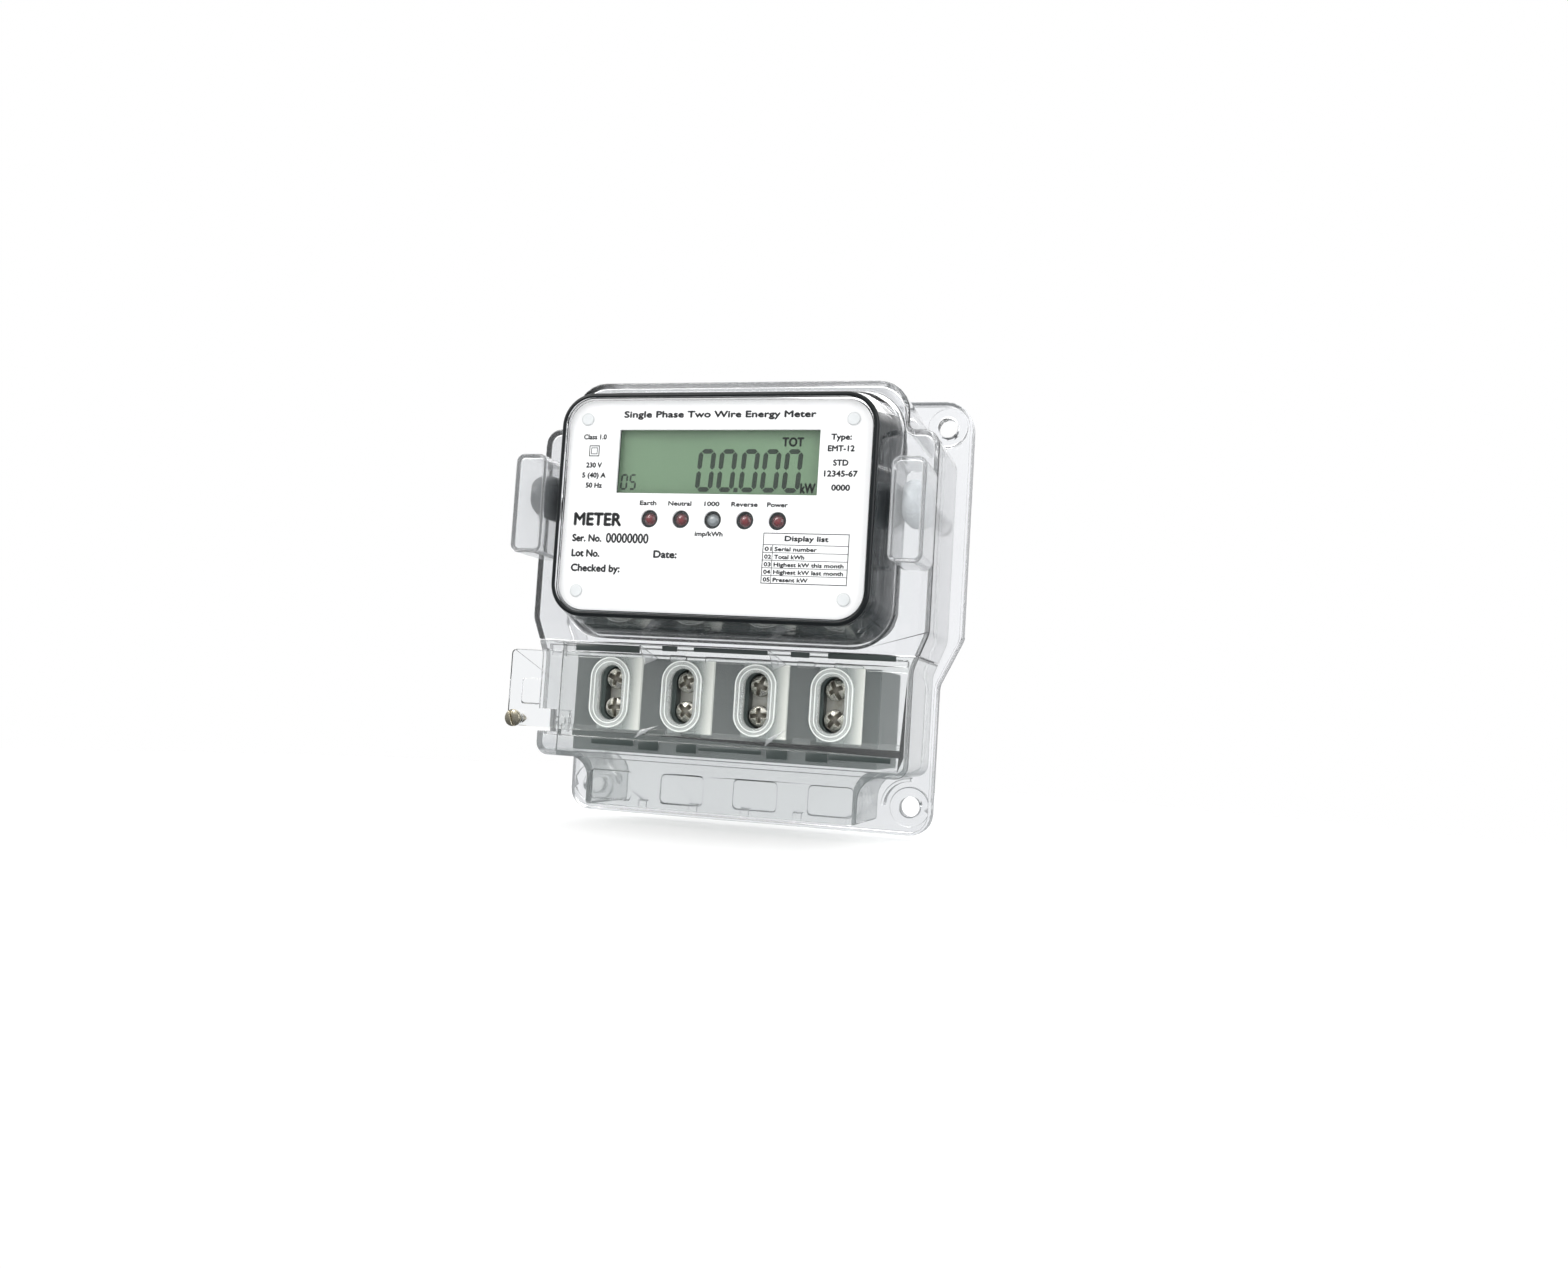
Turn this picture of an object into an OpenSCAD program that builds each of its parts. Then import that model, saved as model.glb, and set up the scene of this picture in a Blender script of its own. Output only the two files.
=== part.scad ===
// Wall-mounted single-phase electricity meter in a clear moulded case.
// X runs to the right, Y runs back to the wall and Z runs up.
// The origin is on the wall face of the base plate, at its centre.

/* [Base plate] */
// Width of the base plate across its upper ears
base_w = 138; // [136:1:144]
// Height of the base plate
base_h = 140; // [139:1:146]
// Width of the narrower lower part of the base plate
lower_w = 124; // [123:1:128]
// Thickness of the base plate
base_t = 2.4; // [2:0.2:3]
// Height of the rim that runs round the base plate, from the wall
rim_h = 6; // [5:0.5:8]
// Radius of the four wall fixing holes
fix_r = 3.2; // [2.5:0.1:3.5]

/* [Clear cover] */
// Depth of the whole meter, from the wall to the front face
depth = 59; // [58:0.5:60]
// Depth of the cover's shoulders, from the wall
shoulder_d = 39.5; // [39:0.5:40.5]
// Width of the cover across its shoulders
cover_w = 128; // [126:1:130]
// Wall thickness of the cover
wall = 1.5; // [1.3:0.1:1.6]
// Width of the front face
face_w = 98.8; // [96:0.2:99]
// Height of the front face
face_h = 68.2; // [66:0.2:69]
// Height of the middle of the front face above the origin
face_z = 25.7; // [25:0.1:26]

/* [Display] */
// Width of the display window
lcd_w = 62.8; // [58:0.2:64]
// Height of the display window
lcd_h = 19.4; // [16:0.2:20]
// Spacing of the indicator lamps
led_pitch = 10; // [9:0.5:11]
// Diameter of an indicator lamp
led_d = 5; // [4:0.5:5]

/* [Terminals] */
// Spacing of the four terminals
pitch = 23.8; // [23:0.1:24]
// Radius of the cable hole in a terminal
cable_r = 4; // [3:0.25:4]
// Distance between the two screws of a terminal
screw_gap = 9; // [8.5:0.1:9.5]
// Radius of a terminal screw's head
head_r = 3.2; // [2.8:0.1:3.3]
// Radius of a terminal screw's shank
shank_r = 2.45; // [2:0.05:2.45]

/* [Hidden] */

$fn = 48;
eps = 0.01;
gap = 0.3;

// Faces along the depth of the meter, as Y values; the front of the meter is at -depth.
face_y = -depth;
shoulder_y = -shoulder_d;
plate_y = -base_t;
label_y = face_y + wall + 0.9;
frame_y = label_y + 1.0;
board_y = frame_y + 8.6;
board_back = board_y + 1.7;
shutter_y = shoulder_y + wall + gap;
shutter_t = 1.5;
head_y = shutter_y + shutter_t + 0.5;
block_y = -34;
brass_y = -29.5;
bore_y = -23;
brass_back = -15.6;

// Heights of the terminal zone
term_z = -30.5;
term_bottom = -51.3;
skirt_y = -34;
skirt_bottom = -66;
term_w = 119.6;
skirt_w = 88;
skirt_fillet = 8;

// Seams of the cover: above seam_z is the main cover, left of seam_x the shutter guide.
seam_z = -15;
seam_x = -53;
seam = 0.1;
clear = [0.88, 0.9, 0.9, 0.35];

// The front box flares from the face to the shoulders.
foot_w = face_w + 8;
foot_h = face_h + 10;
face_r = 10;
foot_r = 13;
edge = 0.8;

// Raised top of the cover behind the front box
crown_w = 109;
crown_top = 68.1;
shoulder_top = 53.2;

// Seal caps stand on the shoulders beside the front box.
seal_x = 58.8;
seal_w = 10.2;
seal_h = 30.6;
plug_z = face_z + 4;
cover_screw_r = 1.9;

// Wall fixing holes: a pair at the top and a pair at the bottom
fix_top = [60.6, 61.8];
fix_bottom = [54.8, -61];
fix_boss_r = 6.4;
boss_front = -5;
cover_boss_r = 3.3;
rib_r = 8;
rib_t = 1.2;

// The display and the lamps sit a little to the right of the middle.
display_x = 0.4;
display_z = 39.2;
led_z = 21.8;

// Terminal shutter, drawn in its open place
shutter_h = 24.5;
shutter_left = -71.6;
shutter_right = 45;
travel = pitch / 2;
seal_screw = [-68, -40.4];
seal_screw_r = 1.5;
notch_w = 13.6;
notch_h = 7;
lug_y = -30.4;
lug_t = 2.5;
well_w = 8;
well_h = 17.5;
rim_w = 13.4;
rail_h = 3.6;
lip_t = 1.4;

// Terminals and the block that holds them
block_w = 99;
block_h = 30;
brass_z = -33.8;
brass_w = 12;
brass_h = 26.4;
link_t = 2;

// Label rivets, lamps and board
rivet_r = 1.9;
post_r = 3;
post_bore = 1.05;
board_t = 1.6;
lead_pitch = 2.54;
lead_w = 0.5;

module slab(front, back) {
    translate([0, back, 0])
        rotate([90, 0, 0])
            linear_extrude(back - front)
                children();
}

module rounded_rect(w, h, r) {
    square([w - 2 * r, h], center = true);
    square([w, h - 2 * r], center = true);
    for (x = [-1, 1], z = [-1, 1])
        translate([x * (w / 2 - r), z * (h / 2 - r)])
            circle(r);
}

module stadium(w, h) {
    square([w, h - w], center = true);
    for (z = [-1, 1])
        translate([0, z * (h - w) / 2])
            circle(w / 2);
}

function unit(v) = v / norm(v);

// Arc that rounds the corner b between the edges to a and c
function corner(a, b, c, r) =
    let (u = unit(a - b), v = unit(c - b), half = acos(u * v) / 2)
    let (mid = b + unit(u + v) * r / sin(half))
    let (p = b + u * r / tan(half) - mid, q = b + v * r / tan(half) - mid)
    let (from = atan2(p.y, p.x), sweep = atan2(q.y, q.x) - from)
    let (turn = sweep > 180 ? sweep - 360 : sweep < -180 ? sweep + 360 : sweep)
    [for (k = [0:6]) mid + r * [cos(from + turn * k / 6), sin(from + turn * k / 6)]];

// Closed outline from corners given as [x, z, radius]
function rounded(c) =
    let (n = len(c))
    [for (i = [0:n - 1])
        each corner([c[(i + n - 1) % n].x, c[(i + n - 1) % n].y], [c[i].x, c[i].y],
            [c[(i + 1) % n].x, c[(i + 1) % n].y], c[i][2])];

// Right-hand corners followed by the same corners mirrored
function both_sides(c) = concat(c, [for (i = [len(c) - 1:-1:0]) [-c[i].x, c[i].y, c[i][2]]]);

function base_corners(inset) = both_sides([
    [base_w / 2 - inset, base_h / 2 - inset, 9 - inset],
    [base_w / 2 - inset, -7, 6 - inset],
    [lower_w / 2 - inset, -22, 6 + inset],
    [lower_w / 2 - inset, -base_h / 2 + inset, 7 - inset]]);

function cover_corners(inset) = both_sides([
    [crown_w / 2 - inset, crown_top - inset, 10 - inset],
    [crown_w / 2 - inset, shoulder_top - inset, 2 + inset],
    [cover_w / 2 - inset, shoulder_top - inset, 5 - inset],
    [cover_w / 2 - inset, -8, 8 - inset],
    [term_w / 2 - inset, -19, 8 + inset],
    [term_w / 2 - inset, term_bottom + inset, 4 - inset]]);

function skirt_corners(inset, foot) = both_sides([
    [skirt_w / 2 + skirt_fillet - inset, term_bottom + 6, 1],
    [skirt_w / 2 + skirt_fillet - inset, term_bottom + inset, 0.3],
    [skirt_w / 2 - inset, term_bottom + inset, 7],
    [skirt_w / 2 - inset, foot, 1]]);

module at_fixings() {
    for (side = [-1, 1], spot = [fix_top, fix_bottom])
        translate([side * spot.x, 0, spot.y])
            children();
}

module at_terminals() {
    for (i = [0:3])
        translate([pitch * (i - 1.5), 0, 0])
            children();
}

module base_plate() {
    color([0.86, 0.88, 0.88, 0.5])
        difference() {
            union() {
                slab(plate_y, 0) polygon(rounded(base_corners(0)));
                base_rim();
                at_fixings() slab(boss_front, plate_y) circle(fix_boss_r);
                corner_ribs();
                for (side = [-1, 1])
                    translate([side * seal_x, 0, plug_z])
                        slab(shoulder_y + wall + gap, plate_y) circle(cover_boss_r);
                for (x = [-36:18:36])
                    translate([x, 0, -base_h / 2 + 3])
                        slab(boss_front, plate_y) square(3, center = true);
            }
            at_fixings() slab(-rim_h, 1) circle(fix_r);
            for (side = [-1, 1])
                translate([side * seal_x, 0, plug_z])
                    slab(shoulder_y - 1, -6) circle(cover_screw_r + 0.05);
        }
}

module base_rim() {
    slab(-rim_h, plate_y)
        difference() {
            polygon(rounded(base_corners(0)));
            polygon(rounded(base_corners(1.1)));
        }
}

// Quarter-round ribs that wall off the two lower fixing holes
module corner_ribs() {
    for (side = [-1, 1])
        slab(-rim_h, plate_y)
            intersection() {
                translate([side * fix_bottom.x, fix_bottom.y])
                    difference() {
                        circle(rib_r + rib_t);
                        circle(rib_r);
                    }
                translate([side * (fix_bottom.x - rib_r - 2), fix_bottom.y + rib_r + 2])
                    square(2 * (rib_r + 2), center = true);
            }
}

// Tapered box between the shoulders and the face, grown inwards by inset
module front_box(inset, front, back) {
    draft_w = (foot_w - face_w) / (shoulder_y - face_y);
    draft_h = (foot_h - face_h) / (shoulder_y - face_y);
    run = front - face_y;
    hull() {
        translate([0, 0, face_z])
            slab(front, front + 0.1)
                rounded_rect(face_w + draft_w * run - 2 * (inset + edge),
                    face_h + draft_h * run - 2 * (inset + edge), face_r - inset - edge);
        translate([0, 0, face_z])
            slab(front + 1, front + 1.1)
                rounded_rect(face_w + draft_w * run - 2 * inset,
                    face_h + draft_h * run - 2 * inset, face_r - inset);
        translate([0, 0, face_z])
            slab(shoulder_y, back)
                rounded_rect(foot_w - 2 * inset, foot_h - 2 * inset, foot_r - inset);
    }
}

module main_cover() {
    color(clear)
        difference() {
            union() {
                slab(shoulder_y, plate_y)
                    intersection() {
                        polygon(rounded(cover_corners(0)));
                        translate([0, seam_z + base_h / 2]) square(base_h, center = true);
                    }
                front_box(0, face_y, shoulder_y + eps);
            }
            slab(shoulder_y + wall, 1) polygon(rounded(cover_corners(wall)));
            front_box(wall, face_y + wall, shoulder_y + wall + eps);
            for (side = [-1, 1])
                translate([side * seal_x, 0, plug_z])
                    slab(shoulder_y - 1, shoulder_y + 3) circle(cover_screw_r + gap);
        }
}

// Clear wall round the terminals, with its rails, wells and skirt
module terminal_shell() {
    difference() {
        union() {
            slab(shoulder_y, plate_y) polygon(rounded(cover_corners(0)));
            slab(skirt_y, plate_y) polygon(rounded(skirt_corners(0, skirt_bottom)));
            at_terminals()
                translate([0, 0, term_z])
                    slab(shoulder_y - 1, shoulder_y + eps) stadium(rim_w, 22);
        }
        slab(shoulder_y + wall, 1)
            difference() {
                polygon(rounded(cover_corners(wall)));
                rail_shape();
            }
        slab(skirt_y + wall, 1) polygon(rounded(skirt_corners(wall, skirt_bottom - 5)));
        rail_relief();
        at_terminals()
            translate([0, 0, term_z])
                slab(shoulder_y - 3, shoulder_y + 3) stadium(well_w, well_h);
        rail_windows();
        shutter_slot();
        cable_panels();
    }
}

// Space below the seam of the main cover, from one X value to another
module zone(left, right) {
    translate([left, -depth, -base_h / 2])
        cube([right - left, depth, base_h / 2 + seam_z - seam]);
}

module terminal_cover() {
    color(clear)
        intersection() {
            terminal_shell();
            zone(seam_x + seam, base_w / 2);
        }
}

// End piece that the shutter slides through, with the lug for its sealing screw
module shutter_guide() {
    color(clear)
        intersection() {
            union() {
                terminal_shell();
                seal_lug();
            }
            zone(-base_w / 2, seam_x);
        }
}

// Lug behind the notch, with the hole that the shutter's sealing screw enters when shut
module seal_lug() {
    slab(lug_y + 0.1, lug_y + 0.1 + lug_t)
        translate([0, seal_screw.y])
            difference() {
                translate([-term_w / 2 + wall / 2, -notch_h / 2]) square([8, notch_h]);
                translate([seal_screw.x + travel, 0]) circle(seal_screw_r + 0.15);
            }
}

// Cross-section of the two L-shaped rails that carry the shutter
module rail_shape() {
    for (side = [-1, 1])
        translate([0, term_z + side * (shutter_h / 2 + 0.25)])
            square([term_w - 2 * wall - 1, rail_h], center = true);
}

// What is cut away behind and between the rails
module rail_relief() {
    slab(shutter_y - gap, shutter_y + shutter_t + gap)
        translate([0, term_z])
            square([term_w - 2 * wall, shutter_h + 0.6], center = true);
    slab(shutter_y + shutter_t + gap + lip_t, plate_y + 1)
        translate([0, term_z])
            square([term_w - 2 * wall - 2 * eps, shutter_h + 8], center = true);
}

// Openings in front of the rail lips, in two pairs along each rail
module rail_windows() {
    for (middle = [-14, 27], side = [-1, 1], level = [-1, 1])
        translate([middle + side * 5.8, 0, term_z + level * (shutter_h / 2 - 0.7)])
            slab(shoulder_y - 1, shutter_y - eps) square([6.2, 1.6], center = true);
}

// Slot in the left wall for the shutter, with a notch for its sealing screw
module shutter_slot() {
    translate([-term_w / 2, 0, term_z])
        slab(shutter_y - gap + eps, shutter_y + shutter_t + gap)
            square([12, shutter_h + 0.6], center = true);
    translate([-term_w / 2, 0, seal_screw.y])
        slab(shoulder_y - 1, lug_y) square([notch_w, notch_h], center = true);
}

// Shallow knock-out panels in the front of the skirt, one for each cable
module cable_panels() {
    at_terminals()
        translate([0, 0, -59.5])
            slab(skirt_y - 1, skirt_y + 0.6)
                rounded_rect(14, 9, 1.5);
}

// Dark moulded tub that holds the label, the display and the circuit board
module inner_frame() {
    color([0.2, 0.23, 0.24])
        difference() {
            frame_body(wall + gap, frame_y);
            frame_body(wall + gap + 1.6, frame_y + 1.6);
            translate([display_x, 0, display_z])
                slab(frame_y - 1, frame_y + 3) square([lcd_w + 0.8, lcd_h + 0.8], center = true);
            at_leds() slab(frame_y - 1, frame_y + 3) circle(led_d / 2 + gap);
            at_posts() slab(frame_y - 1, frame_y + 3) circle(post_bore);
        }
    color([0.2, 0.23, 0.24])
        at_posts()
            slab(frame_y + 1.6 - eps, board_y)
                difference() {
                    circle(post_r);
                    circle(post_bore);
                }
}

// Outer or inner form of the tub: tapered with the front box, then straight to its back
module frame_body(inset, front) {
    front_box(inset, front, shoulder_y + eps);
    translate([0, 0, face_z])
        slab(shoulder_y, -17 + inset - wall - gap)
            rounded_rect(foot_w - 2 * inset, foot_h - 2 * inset, foot_r - inset);
}

module at_posts() {
    for (x = [-41.6, 41.6], z = [-26.3, 26.3])
        translate([x, 0, face_z + z])
            children();
}

module at_leds() {
    for (i = [-2:2])
        translate([display_x + i * led_pitch, 0, led_z])
            children();
}

module label_plate() {
    color([0.95, 0.96, 0.96])
        difference() {
            translate([0, 0, face_z])
                slab(label_y, frame_y)
                    rounded_rect(face_w - 2 * (wall + gap), face_h - 2 * (wall + gap),
                        face_r - wall);
            translate([display_x, 0, display_z])
                slab(label_y - 1, frame_y + 1) square([lcd_w, lcd_h], center = true);
            at_leds() slab(label_y - 1, frame_y + 1) circle(led_d / 2 + 0.2);
            at_posts() slab(label_y - 1, frame_y + 1) circle(post_bore);
        }
}

module label_rivets() {
    color([0.85, 0.87, 0.87])
        at_posts() {
            slab(label_y - 0.5, label_y) circle(rivet_r);
            slab(label_y - eps, frame_y + 3) circle(post_bore - 0.05);
        }
}

module lcd_glass() {
    color([0.5, 0.63, 0.5])
        translate([display_x, 0, display_z])
            slab(frame_y + 1.7, frame_y + 3.9) square([66, 25], center = true);
}

module lcd_backplate() {
    color([0.9, 0.9, 0.88])
        translate([display_x, 0, display_z])
            slab(frame_y + 4, frame_y + 7) square([64, 17], center = true);
}

module lcd_contact_strips() {
    color([0.75, 0.3, 0.55])
        for (side = [-1, 1])
            translate([display_x, 0, display_z + side * 10.6])
                slab(frame_y + 4, board_y - 0.05) square([58, 2], center = true);
}

module led(index, tint) {
    color(tint)
        translate([display_x + index * led_pitch, 0, led_z]) {
            translate([0, label_y + 2.7, 0]) sphere(led_d / 2);
            slab(label_y + 2.7, board_y - 1.5) circle(led_d / 2);
            slab(board_y - 2.5, board_y - 1.5) circle(led_d / 2 + 0.4);
            for (side = [-1, 1])
                translate([side * lead_pitch / 2, 0, 0])
                    slab(board_y - 1.5 - eps, board_y + 3) square(lead_w, center = true);
        }
}

module main_board() {
    color([0.1, 0.4, 0.22])
        difference() {
            translate([0, 0, face_z])
                slab(board_y + 0.05, board_y + 0.05 + board_t) square([92, 61], center = true);
            at_posts() slab(board_y - 1, board_y + 3) circle(1.3);
            at_leds()
                for (side = [-1, 1])
                    translate([side * lead_pitch / 2, 0, 0])
                        slab(board_y - 1, board_y + 3) circle(lead_w * 0.9);
        }
}

module board_screws() {
    color([0.75, 0.75, 0.73])
        at_posts() {
            slab(board_y - 5, board_back) circle(1);
            slab(board_back - eps, board_back + 1.5) circle(2.4);
        }
}

// Block of a given size that stands on the back of the board
module on_board(x, z, w, h, deep) {
    translate([x, 0, z])
        slab(board_back, board_back + deep)
            square([w, h], center = true);
}

module metering_chip() {
    color([0.12, 0.12, 0.13]) on_board(-12, 12, 8, 10, 1.8);
}

module microcontroller() {
    color([0.12, 0.12, 0.13]) on_board(12, 14, 12, 12, 1.6);
}

module crystal() {
    color([0.8, 0.8, 0.78]) on_board(26, 14, 4.5, 11, 3.4);
}

module film_capacitor() {
    color([0.85, 0.75, 0.2]) on_board(-32, 28, 10, 20, 16);
}

module smoothing_capacitor() {
    color([0.1, 0.12, 0.35])
        translate([-14, 0, 32])
            slab(board_back, board_back + 16) circle(5);
}

module varistor() {
    color([0.15, 0.3, 0.6])
        translate([-32, board_back + 7.5, 8])
            rotate([0, 90, 0])
                cylinder(r = 6, h = 4, center = true);
}

module backup_battery() {
    color([0.2, 0.5, 0.35])
        translate([24, board_back + 7.7, 40])
            rotate([0, 90, 0])
                cylinder(r = 7.2, h = 25, center = true);
}

// Manganin strip that joins the first two terminals behind the block
module current_shunt() {
    color([0.72, 0.45, 0.3])
        for (part = [[-pitch, pitch + 8, link_t], [-1.5 * pitch, 8, 0], [-0.5 * pitch, 8, 0]])
            translate([part.x, 0, term_z])
                slab(brass_back + part.z, brass_back + part.z + link_t + eps)
                    square([part.y, 8], center = true);
}

// Bar that joins the last two terminals through the current transformer
module neutral_link() {
    color([0.8, 0.68, 0.35])
        for (part = [[pitch, pitch + 6, link_t], [0.5 * pitch, 6, 0], [1.5 * pitch, 6, 0]])
            translate([part.x, 0, term_z])
                slab(brass_back + part.z, brass_back + part.z + link_t + eps)
                    square([part.y, 5], center = true);
}

module current_transformer() {
    color([0.1, 0.2, 0.5])
        translate([pitch, brass_back + 3, term_z])
            rotate([0, 90, 0])
                difference() {
                    cylinder(r = 6.6, h = 7, center = true);
                    cylinder(r = 3.2, h = 9, center = true);
                }
}

module terminal_block() {
    color([0.27, 0.31, 0.33])
        difference() {
            translate([0, 0, brass_z - 0.2])
                slab(block_y, plate_y - 0.5) square([block_w, block_h], center = true);
            at_terminals() {
                translate([0, 0, brass_z])
                    slab(brass_y - 0.1, -2)
                        square([brass_w + 0.2, brass_h + gap], center = true);
                translate([0, 0, term_z]) slab(block_y - 1, brass_y) stadium(7.6, 16.8);
                translate([0, bore_y, -60]) cylinder(r = cable_r + 0.6, h = 20);
            }
            for (middle = [-pitch, pitch])
                translate([middle, 0, term_z])
                    slab(brass_back - 4, -2) square([24, 15], center = true);
        }
}

module terminal(index) {
    color([0.78, 0.76, 0.66])
        difference() {
            translate([pitch * (index - 2.5), 0, brass_z])
                slab(brass_y, brass_back) square([brass_w, brass_h], center = true);
            translate([pitch * (index - 2.5), bore_y, -48]) cylinder(r = cable_r, h = 25.5);
            for (side = [-1, 1])
                translate([pitch * (index - 2.5), 0, term_z + side * screw_gap / 2])
                    slab(brass_y - 1, bore_y) circle(shank_r + 0.05);
        }
}

module terminal_screw(index, side) {
    color([0.8, 0.79, 0.74])
        translate([pitch * (index - 2.5), 0, term_z + side * screw_gap / 2])
            difference() {
                union() {
                    slab(head_y, head_y + 2.4) circle(head_r);
                    slab(head_y + 2.4 - eps, bore_y - cable_r - 0.2) circle(shank_r);
                }
                slab(head_y - 1, head_y + 1.2) square([2 * head_r + 1, 1], center = true);
                slab(head_y - 1, head_y + 1.6) square([1, 3.6], center = true);
            }
}

// Clear sliding plate with one window for each terminal, and a tab at its left end
module terminal_shutter() {
    color([0.9, 0.92, 0.92, 0.4])
        difference() {
            translate([(shutter_left + shutter_right) / 2, 0, term_z])
                slab(shutter_y, shutter_y + shutter_t)
                    rounded_rect(shutter_right - shutter_left, shutter_h, 1.5);
            at_terminals()
                translate([0, 0, term_z])
                    slab(shutter_y - 1, shutter_y + 3) stadium(well_w + 0.6, well_h + 0.6);
            translate([shutter_left + 8, 0, term_z - 1])
                slab(shutter_y - 1, shutter_y + 0.7) rounded_rect(7, 8, 1);
            translate([seal_screw.x, 0, seal_screw.y])
                slab(shutter_y - 1, shutter_y + 3) circle(seal_screw_r + 0.05);
        }
}

module shutter_seal_screw() {
    color([0.75, 0.72, 0.6])
        translate([seal_screw.x, 0, seal_screw.y])
            difference() {
                union() {
                    slab(shutter_y - 4, shutter_y - 2.2) circle(2.7);
                    slab(shutter_y - 2.2 - eps, shutter_y + 5.5) circle(seal_screw_r);
                    translate([0, shutter_y + 5.5 - eps, 0])
                        rotate([-90, 0, 0])
                            cylinder(r1 = seal_screw_r, r2 = 0.3, h = 1.5);
                }
                slab(shutter_y - 5, shutter_y - 3.2) square([0.9, 6], center = true);
            }
}

module cover_screw(side) {
    color([0.72, 0.72, 0.7])
        translate([side * seal_x, 0, plug_z])
            difference() {
                union() {
                    slab(shoulder_y - 2.6, shoulder_y) circle(2.9);
                    slab(shoulder_y - eps, -12) circle(cover_screw_r);
                }
                slab(shoulder_y - 3, shoulder_y - 1.4) square([7, 1], center = true);
            }
}

// Knurled plug that hides a cover screw
module seal_plug(side) {
    color([0.3, 0.34, 0.36])
        translate([side * seal_x, 0, plug_z])
            difference() {
                hull() {
                    slab(shoulder_y - 14, shoulder_y - 0.05) stadium(7.4, 14);
                    slab(shoulder_y - 16, shoulder_y - 15) stadium(4, 9);
                }
                slab(shoulder_y - 2.8, shoulder_y + 1) circle(3.05);
            }
}

module seal_cap(side) {
    color(clear)
        translate([side * seal_x, 0, face_z])
            difference() {
                slab(face_y, shoulder_y) rounded_rect(seal_w, seal_h, 2.6);
                slab(face_y + 1.1, shoulder_y + 1)
                    rounded_rect(seal_w - 2.2, seal_h - 2.2, 1.5);
            }
}

base_plate();
main_cover();
terminal_cover();
shutter_guide();
inner_frame();
label_plate();
label_rivets();
lcd_glass();
lcd_backplate();
lcd_contact_strips();
led(-2, [0.5, 0.12, 0.14]);  // led_earth
led(-1, [0.5, 0.12, 0.14]);  // led_neutral
led(0, [0.6, 0.62, 0.63]);  // led_pulse
led(1, [0.5, 0.12, 0.14]);  // led_reverse
led(2, [0.5, 0.12, 0.14]);  // led_power
main_board();
board_screws();
metering_chip();
microcontroller();
crystal();
film_capacitor();
smoothing_capacitor();
varistor();
backup_battery();
current_shunt();
neutral_link();
current_transformer();
terminal_block();
terminal(1);  // terminal_1
terminal(2);  // terminal_2
terminal(3);  // terminal_3
terminal(4);  // terminal_4
terminal_screw(1, 1);  // screw_1_upper
terminal_screw(1, -1);  // screw_1_lower
terminal_screw(2, 1);  // screw_2_upper
terminal_screw(2, -1);  // screw_2_lower
terminal_screw(3, 1);  // screw_3_upper
terminal_screw(3, -1);  // screw_3_lower
terminal_screw(4, 1);  // screw_4_upper
terminal_screw(4, -1);  // screw_4_lower
terminal_shutter();
shutter_seal_screw();
cover_screw(-1);  // cover_screw_left
cover_screw(1);  // cover_screw_right
seal_plug(-1);  // seal_plug_left
seal_plug(1);  // seal_plug_right
seal_cap(-1);  // seal_cap_left
seal_cap(1);  // seal_cap_right
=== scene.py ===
"""Looks of a wall-mounted electricity meter in a clear case: an add-on, run as a script.

Lengths in the tables are millimetres; meshes are metres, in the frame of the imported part:
X runs to the right, Y back to the wall and Z up.
"""

import math

import bmesh
import bpy
import numpy as np
from mathutils import Matrix, Vector


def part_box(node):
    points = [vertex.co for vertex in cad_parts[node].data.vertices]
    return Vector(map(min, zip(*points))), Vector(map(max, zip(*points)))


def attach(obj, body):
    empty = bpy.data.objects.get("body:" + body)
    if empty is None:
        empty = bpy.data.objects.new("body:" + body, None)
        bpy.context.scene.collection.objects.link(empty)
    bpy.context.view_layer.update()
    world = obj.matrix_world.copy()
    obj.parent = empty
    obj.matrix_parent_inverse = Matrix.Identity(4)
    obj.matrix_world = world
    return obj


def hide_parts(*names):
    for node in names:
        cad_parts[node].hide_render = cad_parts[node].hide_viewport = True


bl_info = {
    "name": "Electricity meter",
    "version": (1, 0, 0),
    "blender": (4, 5, 0),
    "location": "3D View > Sidebar > Meter",
    "description": "Clear-cased electricity meter with its display, lamps, terminals and shutter",
    "category": "Object",
}

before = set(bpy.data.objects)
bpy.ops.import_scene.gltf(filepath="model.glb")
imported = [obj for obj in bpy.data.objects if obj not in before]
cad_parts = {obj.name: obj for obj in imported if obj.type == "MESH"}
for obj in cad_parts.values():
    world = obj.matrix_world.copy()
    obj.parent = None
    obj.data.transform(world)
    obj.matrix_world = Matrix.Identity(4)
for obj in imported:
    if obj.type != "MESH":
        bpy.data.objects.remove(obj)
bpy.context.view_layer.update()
MM = 0.001


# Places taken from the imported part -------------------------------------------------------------


def low(node):
    """Lowest corner of a CAD node, in millimetres."""
    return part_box(node)[0] / MM


def high(node):
    """Highest corner of a CAD node, in millimetres."""
    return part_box(node)[1] / MM


def middle(node):
    """Centre of a CAD node's box, in millimetres."""
    return (low(node) + high(node)) / 2


FACE = middle("label_plate")
FACE_SIZE = high("label_plate") - low("label_plate")
PLATE_FRONT = low("label_plate").y
BOX_FRONT = low("main_cover").y
SHOULDER = low("shutter_guide").y
TERMINALS = [middle(f"terminal_{i}") for i in range(1, 5)]
LAMPS = ["led_earth", "led_neutral", "led_pulse", "led_reverse", "led_power"]
SCREWS = [f"screw_{i}_{level}" for i in range(1, 5) for level in ("upper", "lower")]
# Height of the middle of the wells: midway between the two screws of a terminal
WELL_LEVEL = (middle("screw_1_upper").z + middle("screw_1_lower").z) / 2


# Meshes ----------------------------------------------------------------------------------------

WELD = 2e-6  # metres within which loose corners are one point
FLAT_ANGLE = 0.5  # degrees within which neighbouring faces count as flat
CAP_SHARE = 0.73  # height of a capital as a share of the font's size


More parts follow.
